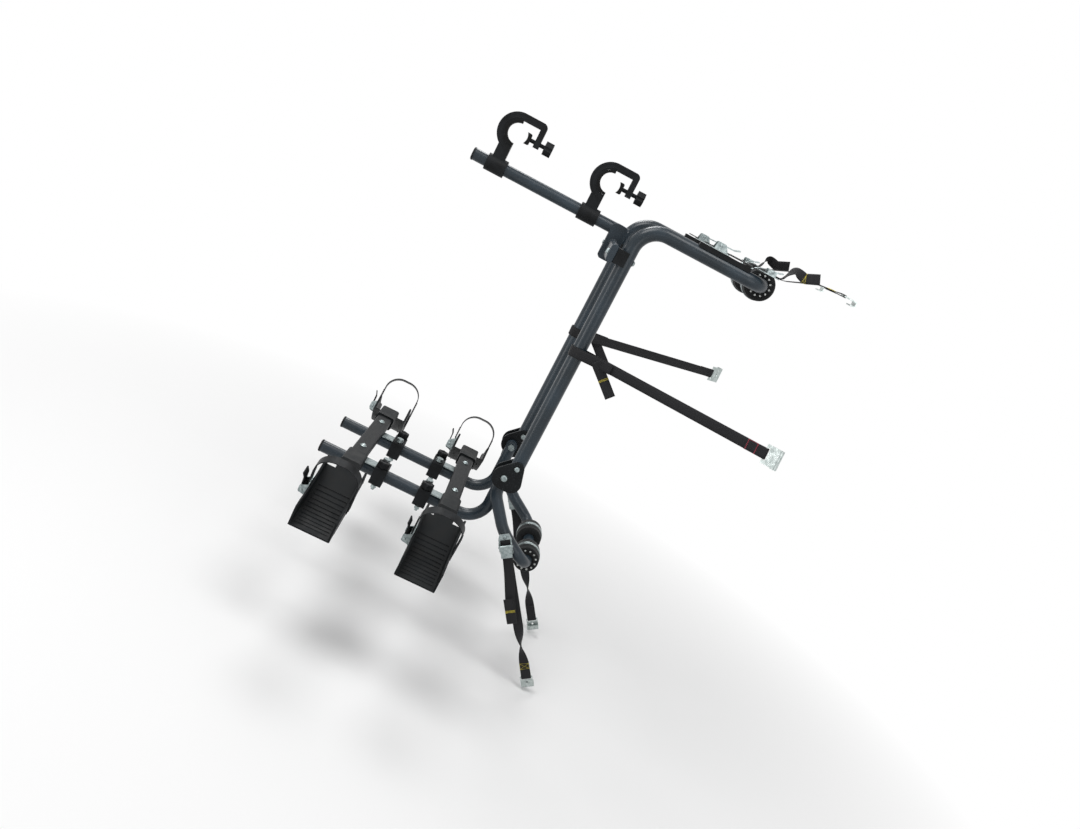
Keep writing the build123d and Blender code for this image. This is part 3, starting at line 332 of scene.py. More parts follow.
level = node(tree, "ShaderNodeMapRange", {
    "Value": weave, "From Min": -1 - yarn_share, "From Max": 1 + yarn_share})
selvedge = node(tree, "ShaderNodeMath", {0: across, 1: strap_width / 2 - selvedge_width},
                operation="GREATER_THAN")
# Painted shade: the weave's grooves are darker and its crests paler, on the same waves as the
# relief.
woven = node(tree, "ShaderNodeMix", {0: level, 6: "#08080a", 7: "#222225"}, data_type="RGBA")
edged = node(tree, "ShaderNodeMix", {0: selvedge, 6: woven, 7: "#0b0b0d"}, data_type="RGBA")
finish(tree, shader, edged, (level, 0.22 * mm))
threads = {}
for name, first, second in (("yellow_thread", "#c2b02c", "#dccd4a"),
                            ("red_thread", "#a3223a", "#c9405a")):
    threads[name], tree, shader, where = new_material(name, first, 0.6, Sheen_Weight=0.3)
    fibre = speckle(tree, where, 0.8 * mm)
    twisted = node(tree, "ShaderNodeMix", {0: fibre, 6: first, 7: second}, data_type="RGBA")
    finish(tree, shader, twisted)
print("made", webbing.name, "and", sorted(threads))

# %% [markdown]
# ## The CAD pieces take their finishes
# Each solid whose shape is right stays as it is, and only its material slot changes. The
# record already says which slot each node belongs to, so one table maps slots to materials. The
# pieces that are made further on take theirs from the same table.

# %% Dress the CAD nodes
slot_material = {
    "tube_paint": coats["powder_coat_grey"], "plate_paint": coats["powder_coat_black"],
    "zinc": plated["zinc_plated_steel"], "rail_black": anodised,
    "black_plastic": plastics["moulded_nylon_black"],
    "cup_plastic": plastics["moulded_polypropylene"],
    "toothed_plastic": plastics["cast_polyurethane"],
    "soft_rubber": plastics["moulded_rubber"], "foam": foam, "webbing": webbing,
}
for part in frame["record"]["subparts"]:
    slots = frame["nodes"][part["node"]].data.materials
    slots.clear()
    slots.append(slot_material[part["material_slot"]])
frame["nodes"]["arm_toothed_straps"].data.materials[0] = painted_highlight_strap
for name in ("upper_hooks", "lower_hooks"):
    frame["nodes"][name].data.materials[0] = plated["bright_zinc_plate"]

# %% [markdown]
# ## Webbing
# A strap is a long ribbon with rounded edges that bends in one plane. It could be a curve with a
# bevel, but a ribbon built row by row keeps its width square to the bend and gets its UV map in
# the same loop. Its path is a list of corners with a bend radius each, as a sewer would fold it.


# %% Paths with rounded corners
def bent_path(corners, radii):
    """Points along a line with rounded corners, in the strap's own plane."""
    steps, most_of_run = 7, 0.49
    path = [Vector(corners[0])]
    for before, corner, after, radius in zip(corners, corners[1:], corners[2:], radii):
        corner = Vector(corner)
        a, b = Vector(before) - corner, Vector(after) - corner
        half = a.angle(b) / 2
        reach = min(radius / math.tan(half), most_of_run * a.length, most_of_run * b.length)
        r = reach * math.tan(half)
        middle = corner + (a.normalized() + b.normalized()).normalized() * (r / math.sin(half))
        start = corner + a.normalized() * reach - middle
        end = corner + b.normalized() * reach - middle
        sweep = start.angle_signed(end)
        for k in range(steps + 1):
            spot = start.copy()
            spot.rotate(Matrix.Rotation(-sweep * k / steps, 2))
            path.append(middle + spot)
    path.append(Vector(corners[-1]))
    return path


def even(path, step):
    """The same path with a point about every step."""
    spaced = [path[0]]
    for a, b in zip(path, path[1:]):
        pieces = max(1, math.ceil((b - a).length / step))
        spaced += [a.lerp(b, k / pieces) for k in range(1, pieces + 1)]
    return [p for k, p in enumerate(spaced) if k == 0 or (p - spaced[k - 1]).length > 1e-6]


print("a right-angled fold has", len(bent_path([(0, 0), (1, 0), (1, 1)], [0.1])), "points")

# %% [markdown]
# The ribbon's rows can turn about the strap's middle, for a twist, and slide sideways, for a
# strap that drifts. Both come in softly between two places along it.


# %% Ribbon builder
def ease(run, start, end, amount):
    """Rises smoothly from 0 at start to the amount at end."""
    share = min(1.0, max(0.0, (run - start) / (end - start)))
    return amount * share * share * (3 - 2 * share)


def add_ribbon(mesh, origin, along, across, path, side, wave=0.0, twist=None, drift=None):
    """Adds one closed ribbon, and returns its rows of points with the length up to each row.

    Side is 1 for the right and -1 for the left. Twist and drift are (start, end, amount).
    """
    along, across = Vector(along).normalized(), Vector(across).normalized()
    out = across.cross(along)
    w, t = strap_width / 2, strap_thick / 2
    section = [(-w, 0), (-w + t, t), (-w / 3, t), (w / 3, t), (w - t, t), (w, 0),
               (w - t, -t), (w / 3, -t), (-w / 3, -t), (-w + t, -t)]
    sway_length, sway_grows = 31 * mm, 30 * mm
    layer = mesh.loops.layers.uv.get("weave") or mesh.loops.layers.uv.new("weave")
    rings, lengths, run = [], [], 0.0
    for k, p in enumerate(path):
        before, after = path[max(k - 1, 0)], path[min(k + 1, len(path) - 1)]
        step = (after - before).normalized()
        normal = Vector((-step.y, step.x))
        run += (p - path[k - 1]).length if k else 0.0
        sway = wave * math.sin(run / sway_length) * min(1.0, run / sway_grows)
        turn = ease(run, *twist) if twist else 0.0
        shift = ease(run, *drift) if drift else 0.0
        ring = []
        for s, h in section:
            s_turned = s * math.cos(turn) - h * math.sin(turn)
            flat = p + normal * (s * math.sin(turn) + h * math.cos(turn) + sway * s / w)
            spot = Vector(origin) + along * flat.x + out * flat.y + across * (s_turned + shift)
            ring.append(mesh.verts.new((side * spot.x, spot.y, spot.z)))
        rings.append(ring)
        lengths.append(run)
    faces = []
    for k in range(len(rings) - 1):
        for i in range(len(section)):
            n = (i + 1) % len(section)
            quad = [rings[k][i], rings[k][n], rings[k + 1][n], rings[k + 1][i]]
            spots = [(lengths[k], section[i][0]), (lengths[k], section[n][0]),
                     (lengths[k + 1], section[n][0]), (lengths[k + 1], section[i][0])]
            faces.append((quad, spots))
    for ring, run in ((rings[0], lengths[0]), (rings[-1], lengths[-1])):
        faces.append((ring, [(run + h, s) for s, h in section]))
    made = []
    for corners, spots in faces:
        face = mesh.faces.new(corners)
        face.smooth = len(corners) == 4
        for loop, spot in zip(face.loops, spots):
            loop[layer].uv = spot
        made.append(face)
    bmesh.ops.recalc_face_normals(mesh, faces=made)
    return [[v.co.copy() for v in ring] for ring in rings], lengths


print("ribbon builder ready")

# %% [markdown]
# The straps come in pairs, one on each side of the carrier. The right one of each pair is kept,
# because the stitches are read from its rows. All straps of a kind are one piece.

# %% Sewing helpers
ribbons = {}


def sew(mesh, word, plane, corners, bends, step, **form):
    """Adds a pair of straps. The plane is its origin, its way along and its way across."""
    path = even(bent_path(corners, bends), step)
    ribbons[word] = add_ribbon(mesh, *plane, path, 1, **form)
    add_ribbon(mesh, *plane, path, -1, **form)
    print(f"{word} strap: {ribbons[word][1][-1] / mm:.0f} mm of webbing")


def to_data(mesh, name):
    """Turns a bmesh into mesh data."""
    data = bpy.data.meshes.new(name)
    mesh.to_mesh(data)
    mesh.free()
    return data


def to_piece(name, data, body):
    """A named piece that rides on a body."""
    piece = put(name, data)
    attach(piece, body)
    print(name, "on", body, "faces", len(data.polygons))
    return piece


def strap_piece(mesh, name, body, replaced):
    """A webbing piece that stands for a CAD node."""
    data = to_data(mesh, name)
    data.materials.append(webbing)
    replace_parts(to_piece(name, data, body), replaced)


def hook_loop(x, y, back):
    """Corners of the sewn loop through a hook's slot, from where the strap meets the hook."""
    lift, slot_x, lap = 2.6 * mm, x + 6.3 * mm, 1.75 * mm
    return [(x - 15 * mm, y), (x - 3 * mm, y + lift), (slot_x, y + lift), (slot_x, y - lift),
            (x - 4 * mm, y - lift), (x - 16 * mm, y - lap), (x - back, y - lap)]


hook_bends = [5 * mm, 2 * mm, 2.2 * mm, 2.2 * mm]
print("a hook's loop has", len(hook_loop(0, 0, 46 * mm)), "corners")

# %% [markdown]
# The top straps leave the cam buckles at the ends of the arms, rise a little and end in a hook.
# Each goes through the hook's slot and is sewn back on itself. The free tail comes out over the
# buckle and lies crumpled on the strap.

# %% Top straps
half_width, guide_top = 160 * mm, 712.5 * mm
toothed_floor, toothed_thick, gap = 2.6 * mm, 2.4 * mm, 0.3 * mm
buckle_floor = guide_top + toothed_floor + toothed_thick + gap
web_in_buckle, layer_step = 3.1 * mm, 1.9 * mm
web_level = buckle_floor + web_in_buckle
arm_plane = ((half_width, 0, 0), (0, 1, 0), (1, 0, 0))
top = bmesh.new()
sew(top, "top", arm_plane,
    [(314 * mm, web_level), (364 * mm, web_level), (440 * mm, 752 * mm),
     *hook_loop(505 * mm, 757 * mm, 46 * mm)[:5],
     (489 * mm, 754.1 * mm), (460 * mm, 751.9 * mm)],
    [60 * mm, 60 * mm, *hook_bends, 6 * mm, 20 * mm], 4 * mm, wave=0.5 * mm)
sew(top, "top tail", arm_plane,
    [(337.5 * mm, web_level + layer_step), (360 * mm, web_level + layer_step),
     (375 * mm, 756.4 * mm), (403 * mm, 748.6 * mm), (436 * mm, 763 * mm)],
    [9 * mm] * 3, 3 * mm, wave=0.5 * mm,
    twist=(32 * mm, 78 * mm, math.radians(-78)), drift=(30 * mm, 66 * mm, 16 * mm))
strap_piece(top, "top_webbing", "hoop", "top_straps")

# %% [markdown]
# The side straps loop once round each upright and run tight to a wide hook far out to the side.
# A tight strap is straight, and only its sewn ends and its tail bend.

# %% Side straps
hook_point = Vector((450, 448, 387)) * mm
wrap_point = Vector((160, 18, 352)) * mm
side_pull = (hook_point - wrap_point).normalized()
side_across = (Vector((0, 0, 1)) - side_pull * side_pull.z).normalized()
side_length = (hook_point - wrap_point).length
wrap = 19.3 * mm
flank = bmesh.new()
sew(flank, "side", (wrap_point, side_pull, side_across),
    [(96 * mm, 9.6 * mm), (66 * mm, 1.5 * mm), (14 * mm, -wrap), (-wrap, -wrap), (-wrap, wrap),
     (side_length - 60 * mm, 2.1 * mm), *hook_loop(side_length, 0, 46 * mm)],
    [60 * mm, 14 * mm, wrap - 1 * mm, wrap - 1 * mm, 60 * mm, *hook_bends, 5 * mm, 6 * mm],
    5 * mm, wave=0.2 * mm)
tail_origin = wrap_point + side_pull * 60 * mm + Vector((4, 0, -2)) * mm
sew(flank, "side tail", (tail_origin, (0, 0.753, -0.657), (0, 0.657, 0.753)),
    [(-6 * mm, -1 * mm), (42 * mm, 4 * mm), (86 * mm, -3 * mm)],
    [50 * mm], 4 * mm, wave=0.5 * mm)
strap_piece(flank, "side_webbing", "hoop", "side_straps")

# %% [markdown]
# The lower straps pull down from the cam buckles on the lower hoop, with a half twist above
# their hooks. Their tails hang beside them with a folded end.

# %% Lower straps
anchor, low_end = Vector((175.3, 69, -137)) * mm, Vector((175.3, 285, -449)) * mm
low_pull = (low_end - anchor).normalized()
low_origin = anchor - low_pull * 9 * mm
low_across = low_pull.cross(Vector((1, 0, 0)))
low_length = (low_end - low_origin).length
low_plane, low_level = (low_origin, low_pull, low_across), web_in_buckle
lower = bmesh.new()
sew(lower, "lower", low_plane,
    [(16 * mm, low_level), (120 * mm, low_level), (low_length - 50 * mm, low_level - 1.6 * mm),
     *hook_loop(low_length, low_level - 2 * mm, 40 * mm)],
    [300 * mm, 60 * mm, *hook_bends, 5 * mm, 6 * mm], 4 * mm,
    wave=0.3 * mm, twist=(214 * mm, 352 * mm, math.pi))
sew(lower, "lower tail", low_plane,
    [(40 * mm, low_level + layer_step), (66 * mm, low_level + layer_step),
     (150 * mm, low_level + 9 * mm), (228 * mm, low_level + 12 * mm),
     (232 * mm, low_level + 20 * mm), (164 * mm, low_level + 19 * mm)],
    [40 * mm, 60 * mm, 4 * mm, 3.5 * mm], 4 * mm,
    wave=0.1 * mm, drift=(20 * mm, 190 * mm, 12 * mm))
strap_piece(lower, "lower_webbing", "lower", "lower_straps")

# %% [markdown]
# ## Geometry Nodes for what repeats
# Stitches, rivets, weld beads and foam plugs are one small shape many times over. Each gets a
# node tree with named inputs. The helper below runs a tree on a seed object, sets the inputs by
# their identifiers, and turns the result into a plain mesh.


# %% Tree helpers
def new_tree(name, **inputs):
    """A geometry tree with a mesh input and named inputs, each a size or its socket's kind."""
    tree = bpy.data.node_groups.new(name, "GeometryNodeTree")
    for way in ("OUTPUT", "INPUT"):
        tree.interface.new_socket("Geometry", in_out=way, socket_type="NodeSocketGeometry")
    kinds = {float: "Float", int: "Int", tuple: "Vector"}
    for key, value in {**inputs, "Finish": "Material"}.items():
        kind = kinds.get(type(value), value)
        socket = tree.interface.new_socket(key, in_out="INPUT", socket_type=f"NodeSocket{kind}")
        if kind != value:
            socket.default_value = value
    return tree, node(tree, "NodeGroupInput")


def end_tree(tree, given, geometry):
    """Realizes the instances, sets the finish and closes the tree."""
    real = node(tree, "GeometryNodeRealizeInstances", {0: geometry})
    smooth = node(tree, "GeometryNodeSetShadeSmooth", {0: real})
    done = node(tree, "GeometryNodeSetMaterial", {0: smooth, "Material": given.outputs["Finish"]})
    node(tree, "NodeGroupOutput", {0: done})


def grow(seed, tree, name, body, slot, **values):
    """Runs a tree on a seed object and keeps the result as one plain piece on a body."""
    values.setdefault("Finish", slot_material[slot])
    modifier = seed.modifiers.new("tree", "NODES")
    modifier.node_group = tree
    for socket in tree.interface.items_tree:
        if socket.in_out == "INPUT" and socket.name in values:
            modifier[socket.identifier] = values[socket.name]
    evaluated = seed.evaluated_get(bpy.context.evaluated_depsgraph_get())
    data = bpy.data.meshes.new_from_object(evaluated)
    data.name = name
    bpy.data.objects.remove(seed)
    return to_piece(name, data, body)


print("tree helpers ready")

# %% [markdown]
# The first tree puts a copy of a pattern piece on each point, facing where the point says. It
# makes rivets, bolt heads, knobs and foam plugs. A pattern piece is turned on a lathe: its
# profile is a few rows of radius and height, and a third number cuts lobes into it. The carrier
# is the same on both sides, so every place is given for the right and copied to the left.

# %% Turned patterns
patterns = []


def skin(name, rings, joined=False):
    """Closed mesh data from rings of points. A ring of one point is a pole."""
    mesh = bmesh.new()
    rings = [[mesh.verts.new(point) for point in ring] for ring in rings]
    count = max(len(ring) for ring in rings)
    for a, b in zip(rings, rings[1:] + (rings[:1] if joined else [])):
        for k in range(count):
            n = k + 1
            corners = [a[k % len(a)], a[n % len(a)], b[n % len(b)], b[k % len(b)]]
            mesh.faces.new(list(dict.fromkeys(corners)))
    for ring in (rings[0], rings[-1]):
        if len(ring) > 1 and not joined:
            mesh.faces.new(ring)
    bmesh.ops.recalc_face_normals(mesh, faces=mesh.faces)
    return to_data(mesh, name)


def lathe(name, profile, segments, lobes=6):
    """A pattern piece from rows of radius and height in millimetres, and the depth of lobes."""
    rings = []
    for radius, height, *lobing in profile:
        ring = []
        for k in range(segments if radius else 1):
            turn = 2 * math.pi * k / segments
            r = radius * mm * (1 - sum(lobing) * (1 - math.cos(lobes * turn)))
            ring.append((r * math.cos(turn), r * math.sin(turn), height * mm))
        rings.append(ring)
    patterns.append(put(name, skin(name, rings)))
    return patterns[-1]


plug = lathe("plug_pattern", [(0, 0), (2.9, 0), (2.95, 2.4), (2.5, 3.1), (0, 3.4)], 14)
print("a plug has", len(plug.data.polygons), "faces")

# %% Tree for copies on points
on_points, given = new_tree("copies_on_points", Pattern="Object")
picked = node(on_points, "GeometryNodeObjectInfo", {"Object": given.outputs["Pattern"]})
facing = node(on_points, "GeometryNodeInputNamedAttribute", {"Name": "facing"},
              data_type="FLOAT_VECTOR")
sized = node(on_points, "GeometryNodeInputNamedAttribute", {"Name": "size"}, data_type="FLOAT")
turned = node(on_points, "FunctionNodeAlignRotationToVector", {"Vector": facing}, axis="Z")
dots = node(on_points, "GeometryNodeMeshToPoints", {0: given})
copies = node(on_points, "GeometryNodeInstanceOnPoints", {
    "Points": dots, "Instance": picked.outputs["Geometry"], "Rotation": turned, "Scale": sized})
end_tree(on_points, given, copies)


def scatter(pattern, places, name, body, slot, **values):
    """Copies a pattern to places, each a spot, a way to face and a size, on both sides."""
    twins = [((-spot[0], *spot[1:]), (-way[0], *way[1:]), size) for spot, way, size in places]
    spots, ways, sizes = zip(*places, *twins)
    data = bpy.data.meshes.new("seed")
    data.from_pydata([tuple(spot) for spot in spots], [], [])
    facing = data.attributes.new("facing", "FLOAT_VECTOR", "POINT")
    facing.data.foreach_set("vector", [c for way in ways for c in Vector(way).normalized()])
    size = data.attributes.new("size", "FLOAT", "POINT")
    size.data.foreach_set("value", list(sizes))
    grow(put("seed", data), on_points, name, body, slot, Pattern=pattern, **values)


print("tree:", on_points.name)

# %% [markdown]
# The other trees follow lines. One kind walks along them and lays a drop every few millimetres:
# thin drops apart are stitches, and thick overlapping ones are a weld bead, each a little
# different. The last one sweeps a rounded profile along each line, which makes a rib.

# %% Trees that follow lines
drop_least, drop_most = 0.86, 1.12
walk_sizes = {
    "stitches": {"Pitch": 2.6 * mm, "Length": 2.3 * mm, "Thickness": 0.8 * mm, "Seed": 3},
    "weld_beads": {"Pitch": 1.5 * mm, "Length": 3.4 * mm, "Thickness": 3.2 * mm, "Seed": 7},
}
walkers = {}
for name, sizes in walk_sizes.items():
    tree, given = new_tree(name, **sizes)
    thick = given.outputs["Thickness"]
    line = node(tree, "GeometryNodeMeshToCurve", {0: given})
    dots = node(tree, "GeometryNodeCurveToPoints", {0: line, "Length": given.outputs["Pitch"]},
                mode="LENGTH")
    drop = node(tree, "GeometryNodeMeshUVSphere", {"Segments": 8, "Rings": 5, "Radius": 0.5})
    scale = node(tree, "ShaderNodeCombineXYZ", {0: thick, 1: thick, 2: given.outputs["Length"]})
    chance = node(tree, "FunctionNodeRandomValue", {
        2: drop_least, 3: drop_most, "Seed": given.outputs["Seed"]}, data_type="FLOAT")
    varied = node(tree, "ShaderNodeVectorMath", {0: scale, "Scale": chance}, operation="SCALE")
    laid = node(tree, "FunctionNodeAlignRotationToVector", {"Vector": dots.outputs["Tangent"]},
                axis="Z")
    copies = node(tree, "GeometryNodeInstanceOnPoints", {
        "Points": dots, "Instance": drop, "Rotation": laid, "Scale": varied})
    end_tree(tree, given, copies)
    walkers[name] = tree
ribbed, given = new_tree("ribs", Width=2.4 * mm, Height=2.4 * mm)
line = node(ribbed, "GeometryNodeMeshToCurve", {0: given})
disc = node(ribbed, "GeometryNodeCurvePrimitiveCircle", {"Resolution": 10, "Radius": 0.5})
size = node(ribbed, "ShaderNodeCombineXYZ", {
    0: given.outputs["Width"], 1: given.outputs["Height"], 2: 1.0})
profile = node(ribbed, "GeometryNodeTransform", {0: disc, "Scale": size})
swept = node(ribbed, "GeometryNodeCurveToMesh", {0: line, 1: profile, "Fill Caps": True})
end_tree(ribbed, given, swept)
print("trees:", *walkers, ribbed.name)


# %% Pieces along lines
def seed_lines(lines):
    """Open polylines as edges, on both sides of the carrier."""
    points, edges = [], []
    for line in [*lines, *[[(-x, y, z) for x, y, z in line] for line in lines]]:
        edges += [(len(points) + k, len(points) + k + 1) for k in range(len(line) - 1)]
        points += [tuple(p) for p in line]
    data = bpy.data.meshes.new("seed")
    data.from_pydata(points, edges, [])
    return put("seed", data)


def walk(kind, lines, name, body, slot, **values):
    """Lays stitches or a weld bead along lines."""
    grow(seed_lines(lines), walkers[kind], name, body, slot, **walk_sizes[kind], **values)


def rib(lines, name, body, slot, thick):
    """Sweeps a round rib along lines."""
    grow(seed_lines(lines), ribbed, name, body, slot, Width=thick, Height=thick)


print("line helpers ready")

# %% [markdown]
# ## Stitches
# Sewn ends are held by thread: a box on the hook's loop, bars on the tails, and a red bracket by
# the side hooks. A stitch line could be placed by hand, but the ribbons twist, so each line is
# read from the ribbon's own rows. That keeps every stitch on the cloth.


# %% Stitch lines
def on_ribbon(word, run, face, index):
    """A point just off one face of a strap: run along it, or from its end, and 0 to 3 across."""
    proud = 0.3 * mm
    rings, lengths = ribbons[word]
    run = lengths[-1] + run if run < 0 else run
    k = next(i for i in range(1, len(lengths)) if lengths[i] >= run or i == len(lengths) - 1)
    share = (run - lengths[k - 1]) / (lengths[k] - lengths[k - 1])
    above, below = ((1, 2, 3, 4)[index], (9, 8, 7, 6)[index])[::face]
    point, under = [rings[k - 1][c].lerp(rings[k][c], share) for c in (above, below)]
    return point + (point - under).normalized() * proud


def bars(word, run, face, rows, step=1.4 * mm):
    """Close rows of stitches across a strap."""
    return [[on_ribbon(word, run + row * step, face, i) for i in range(4)] for row in range(rows)]


def edge_line(word, start, end, face, index):
    """A row along a strap's edge."""
    return [on_ribbon(word, start + (end - start) * k / 8, face, index) for k in range(9)]


def box(word, start, end, face):
    """A sewn box with its two diagonals."""
    lines = bars(word, start, face, 1) + bars(word, end, face, 1)
    lines += [edge_line(word, start, end, face, index) for index in (0, 3)]
    for first in (0, 3):
        lines.append([on_ribbon(word, start + (end - start) * k / 3, face, abs(first - k))
                      for k in range(4)])
    return lines


box_start = low_length - 52 * mm
red_lines = [*bars("side", -27 * mm, 1, 2, 1.3 * mm), *bars("side", -4 * mm, 1, 2, 1.3 * mm),
             edge_line("side", -27 * mm, -3 * mm, 1, 3)]
hoop_lines = [*bars("side tail", 46 * mm, -1, 4), *bars("top tail", 82 * mm, 1, 4),
              *box("top", 158 * mm, 174 * mm, 1)]
low_lines = [*bars("lower tail", -36 * mm, -1, 5),
             *box("lower", box_start, box_start + 15 * mm, -1)]
for lines, name, body, thread in ((red_lines, "side_bar_tacks", "hoop", "red_thread"),
                                  (hoop_lines, "upper_stitches", "hoop", "yellow_thread"),
                                  (low_lines, "lower_stitches", "lower", "yellow_thread")):
    walk("stitches", lines, name, body, "webbing", Finish=threads[thread])

# %% [markdown]
# ## Foam rollers
# Each pad is a thick foam roller on the hoop's bar, with a band round its middle. Foam gives, so
# it pinches in under the band and swells beside it, and its cut ends are slightly domed. The
# roller is turned from a profile, and a tree cuts the ring of holes in its outer end.

# %% Roller profile and the boring tree
holes = {"Holes": 12, "Pitch_Radius": 25 * mm, "Hole_Radius": 3 * mm, "Depth": 8 * mm}
bored, given = new_tree("bored_end", **holes, Face=(0.0, 0.0, 0.0))
to_x = (0, math.pi / 2, 0)
ring = node(bored, "GeometryNodeMeshCircle", {
    "Vertices": given.outputs["Holes"], "Radius": given.outputs["Pitch_Radius"]})
turned = node(bored, "GeometryNodeTransform", {
    0: ring, "Translation": given.outputs["Face"], "Rotation": to_x})
deep = node(bored, "ShaderNodeMath", {0: given.outputs["Depth"], 1: 2.0}, operation="MULTIPLY")
drill = node(bored, "GeometryNodeMeshCylinder", {
    "Vertices": 20, "Radius": given.outputs["Hole_Radius"], "Depth": deep})
drills = node(bored, "GeometryNodeInstanceOnPoints", {
    "Points": turned, "Instance": drill, "Rotation": to_x})
solid_drills = node(bored, "GeometryNodeRealizeInstances", {0: drills})
cut = node(bored, "GeometryNodeMeshBoolean", {0: given, 1: solid_drills},
           operation="DIFFERENCE", solver="EXACT")
end_tree(bored, given, cut)


def roller(bar_y, bar_z, bore_r, radius, start, end, side):
    """A foam roller round a bar along X, from start to end, pinched under its band."""
    steps, segments, corner = 40, 72, 5 * mm
    band_half, swell_from_middle, swell_half, swell_height = 7.5 * mm, 13 * mm, 7 * mm, 1.4 * mm
    profile = []
    for k in range(steps + 1):
        x = start + (end - start) * k / steps
        from_middle = abs(x - (start + end) / 2)
        pinch = math.exp(-((from_middle / band_half) ** 4))
        swell = math.exp(-(((from_middle - swell_from_middle) / swell_half) ** 2))
        from_end = min(x - start, end - x)
        inset = corner - math.sqrt(max(0.0, corner ** 2 - max(0.0, corner - from_end) ** 2))
        profile.append((radius - 0.1 * mm + swell_height * swell * (1 - pinch) - inset, x))
    rings = []
    for r, x in [(bore_r, start), *profile, (bore_r, end)]:
        ring = []
        for k in range(segments):
            turn = 2 * math.pi * k / segments
            uneven = r * (1 + 0.004 * math.sin(3 * turn + x * 90)) if r > bore_r else r
            ring.append((side * x, bar_y + uneven * math.cos(turn), bar_z + uneven * math.sin(turn)))
        rings.append(ring)
    return put("roller", skin("roller", rings, joined=True))


print("tree:", bored.name)

# %% Rollers and their plugs
elbow_radius, end_gap, pad_length, plug_depth = 45 * mm, 2 * mm, 72 * mm, 3.9 * mm
pad_end = half_width - elbow_radius - end_gap
pad_start = pad_end - pad_length
pads = {  # the body, the bar's middle in Y and Z, the bore's radius and the outer radius
    "upper": ("hoop", 332 * mm, 687 * mm, 17.9 * mm, 38 * mm),
    "lower": ("lower", 151 * mm, -190 * mm, 15.4 * mm, 33 * mm),
}
for level, (body, bar_y, bar_z, bore_r, radius) in pads.items():
    for word, side in (("right", 1), ("left", -1)):
        blank = roller(bar_y, bar_z, bore_r, radius, pad_start, pad_end, side)
        made = grow(blank, bored, f"{level}_roller_{word}", body, "foam", **holes,
                    Face=(side * pad_end, bar_y, bar_z))
        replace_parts(made, f"{level}_pads")
    places = []
    for k in range(holes["Holes"]):
        turn = 2 * math.pi * k / holes["Holes"]
        spot = (pad_end - plug_depth, bar_y - holes["Pitch_Radius"] * math.sin(turn),
                bar_z + holes["Pitch_Radius"] * math.cos(turn))
        places.append((spot, (1, 0, 0), 1.0))
    scatter(plug, places, f"{level}_roller_plugs", body, "foam", Finish=plug_foam)

# %% [markdown]
# ## Rivets and bolts
# A pressed buckle shows the riveted ends of its pin, and a bolt through tube sits on a washer
# and has a socket in its head. These are turned shapes of a few hundred faces at most.


# %% Rivets and bolts
def pin_ends(middle, along, reach, size=0.95):
    """Places for the two riveted ends of a pin."""
    return [(middle + along * way * reach, along * way, size) for way in (1, -1)]


rivet = lathe("rivet_pattern", [(0, 0), (3.4, 0), (3.3, 0.7), (2.4, 1.4), (1.1, 1.7), (0, 1.75)], 16)
washer_bolt = lathe("bolt_pattern", [
    (0, 0), (9, 0), (9, 1.4), (7.2, 1.6), (7, 3.2), (5.8, 5.2), (3.4, 6.1), (2.9, 6.1),
    (2.7, 3.4), (0, 3.3)], 24)
right, saddle_z, deck_x, rail_top = Vector((1, 0, 0)), 595 * mm, 123.2 * mm, -101.8 * mm
ratchet_reach, cam_reach, strap_pin, cam_height = 15 * mm, 16.5 * mm, 12.7 * mm, 9.2 * mm
row_planes = {"outer": -340 * mm, "inner": -90 * mm}
hub_x, hub_z, seat_radius, cup_half, pin_rise = 525 * mm, 140 * mm, 350 * mm, 48 * mm, 29 * mm
tilt = math.radians(24)
radial = Vector((math.sin(tilt), 0, math.cos(tilt)))
crosswise = Vector((math.cos(tilt), 0, -math.sin(tilt)))
for row, plane_y in row_planes.items():
    foot = Vector((hub_x, plane_y, hub_z)) - radial * seat_radius
    pin = foot + Vector((0, -cup_half - strap_pin, 0)) + radial * pin_rise
    scatter(rivet, pin_ends(pin, crosswise, ratchet_reach),
            f"{row}_ratchet_rivets", f"{row}_carrier", "zinc")
    scatter(washer_bolt, [((deck_x, plane_y, rail_top), (0, 0, 1), 0.9)],
            f"{row}_rail_bolts", f"{row}_carrier", "zinc")
arm_ratchet = Vector((half_width, 195 * mm, guide_top + strap_pin))
top_cam = Vector((half_width, 330 * mm, buckle_floor + cam_height))
scatter(rivet, pin_ends(arm_ratchet, right, ratchet_reach) + pin_ends(top_cam, right, cam_reach),
        "arm_rivets", "hoop", "zinc")
low_cam = low_origin + low_pull * 32 * mm + right * cam_height
scatter(rivet, [*pin_ends(low_cam, low_across, cam_reach), (anchor + right * 2 * mm, right, 1.6)],
        "lower_rivets", "lower", "zinc")
scatter(washer_bolt, [((half_width, -28 * mm, saddle_z), (0, -1, 0), 1.0),
                      ((half_width, 35.2 * mm, saddle_z), (0, 1, 0), 0.8)],
        "saddle_bolts", "hoop", "zinc")

# %% [markdown]
# ## Weld beads
# Hubs, foot plates and hoop ends are welded. A bead is a row of overlapping drops, each a
# little different, painted over with the powder coat. The seed lines run round each joint.


# %% Bead lines
def circle_line(centre, radius, steps=40):
    """A ring of points round a line along X."""
    first, second = Vector((0, 1, 1)).normalized(), Vector((0, -1, 1)).normalized()
    turns = [2 * math.pi * k / steps for k in range(steps + 1)]
    return [Vector(centre) + first * radius * math.cos(turn) + second * radius * math.sin(turn)
            for turn in turns]


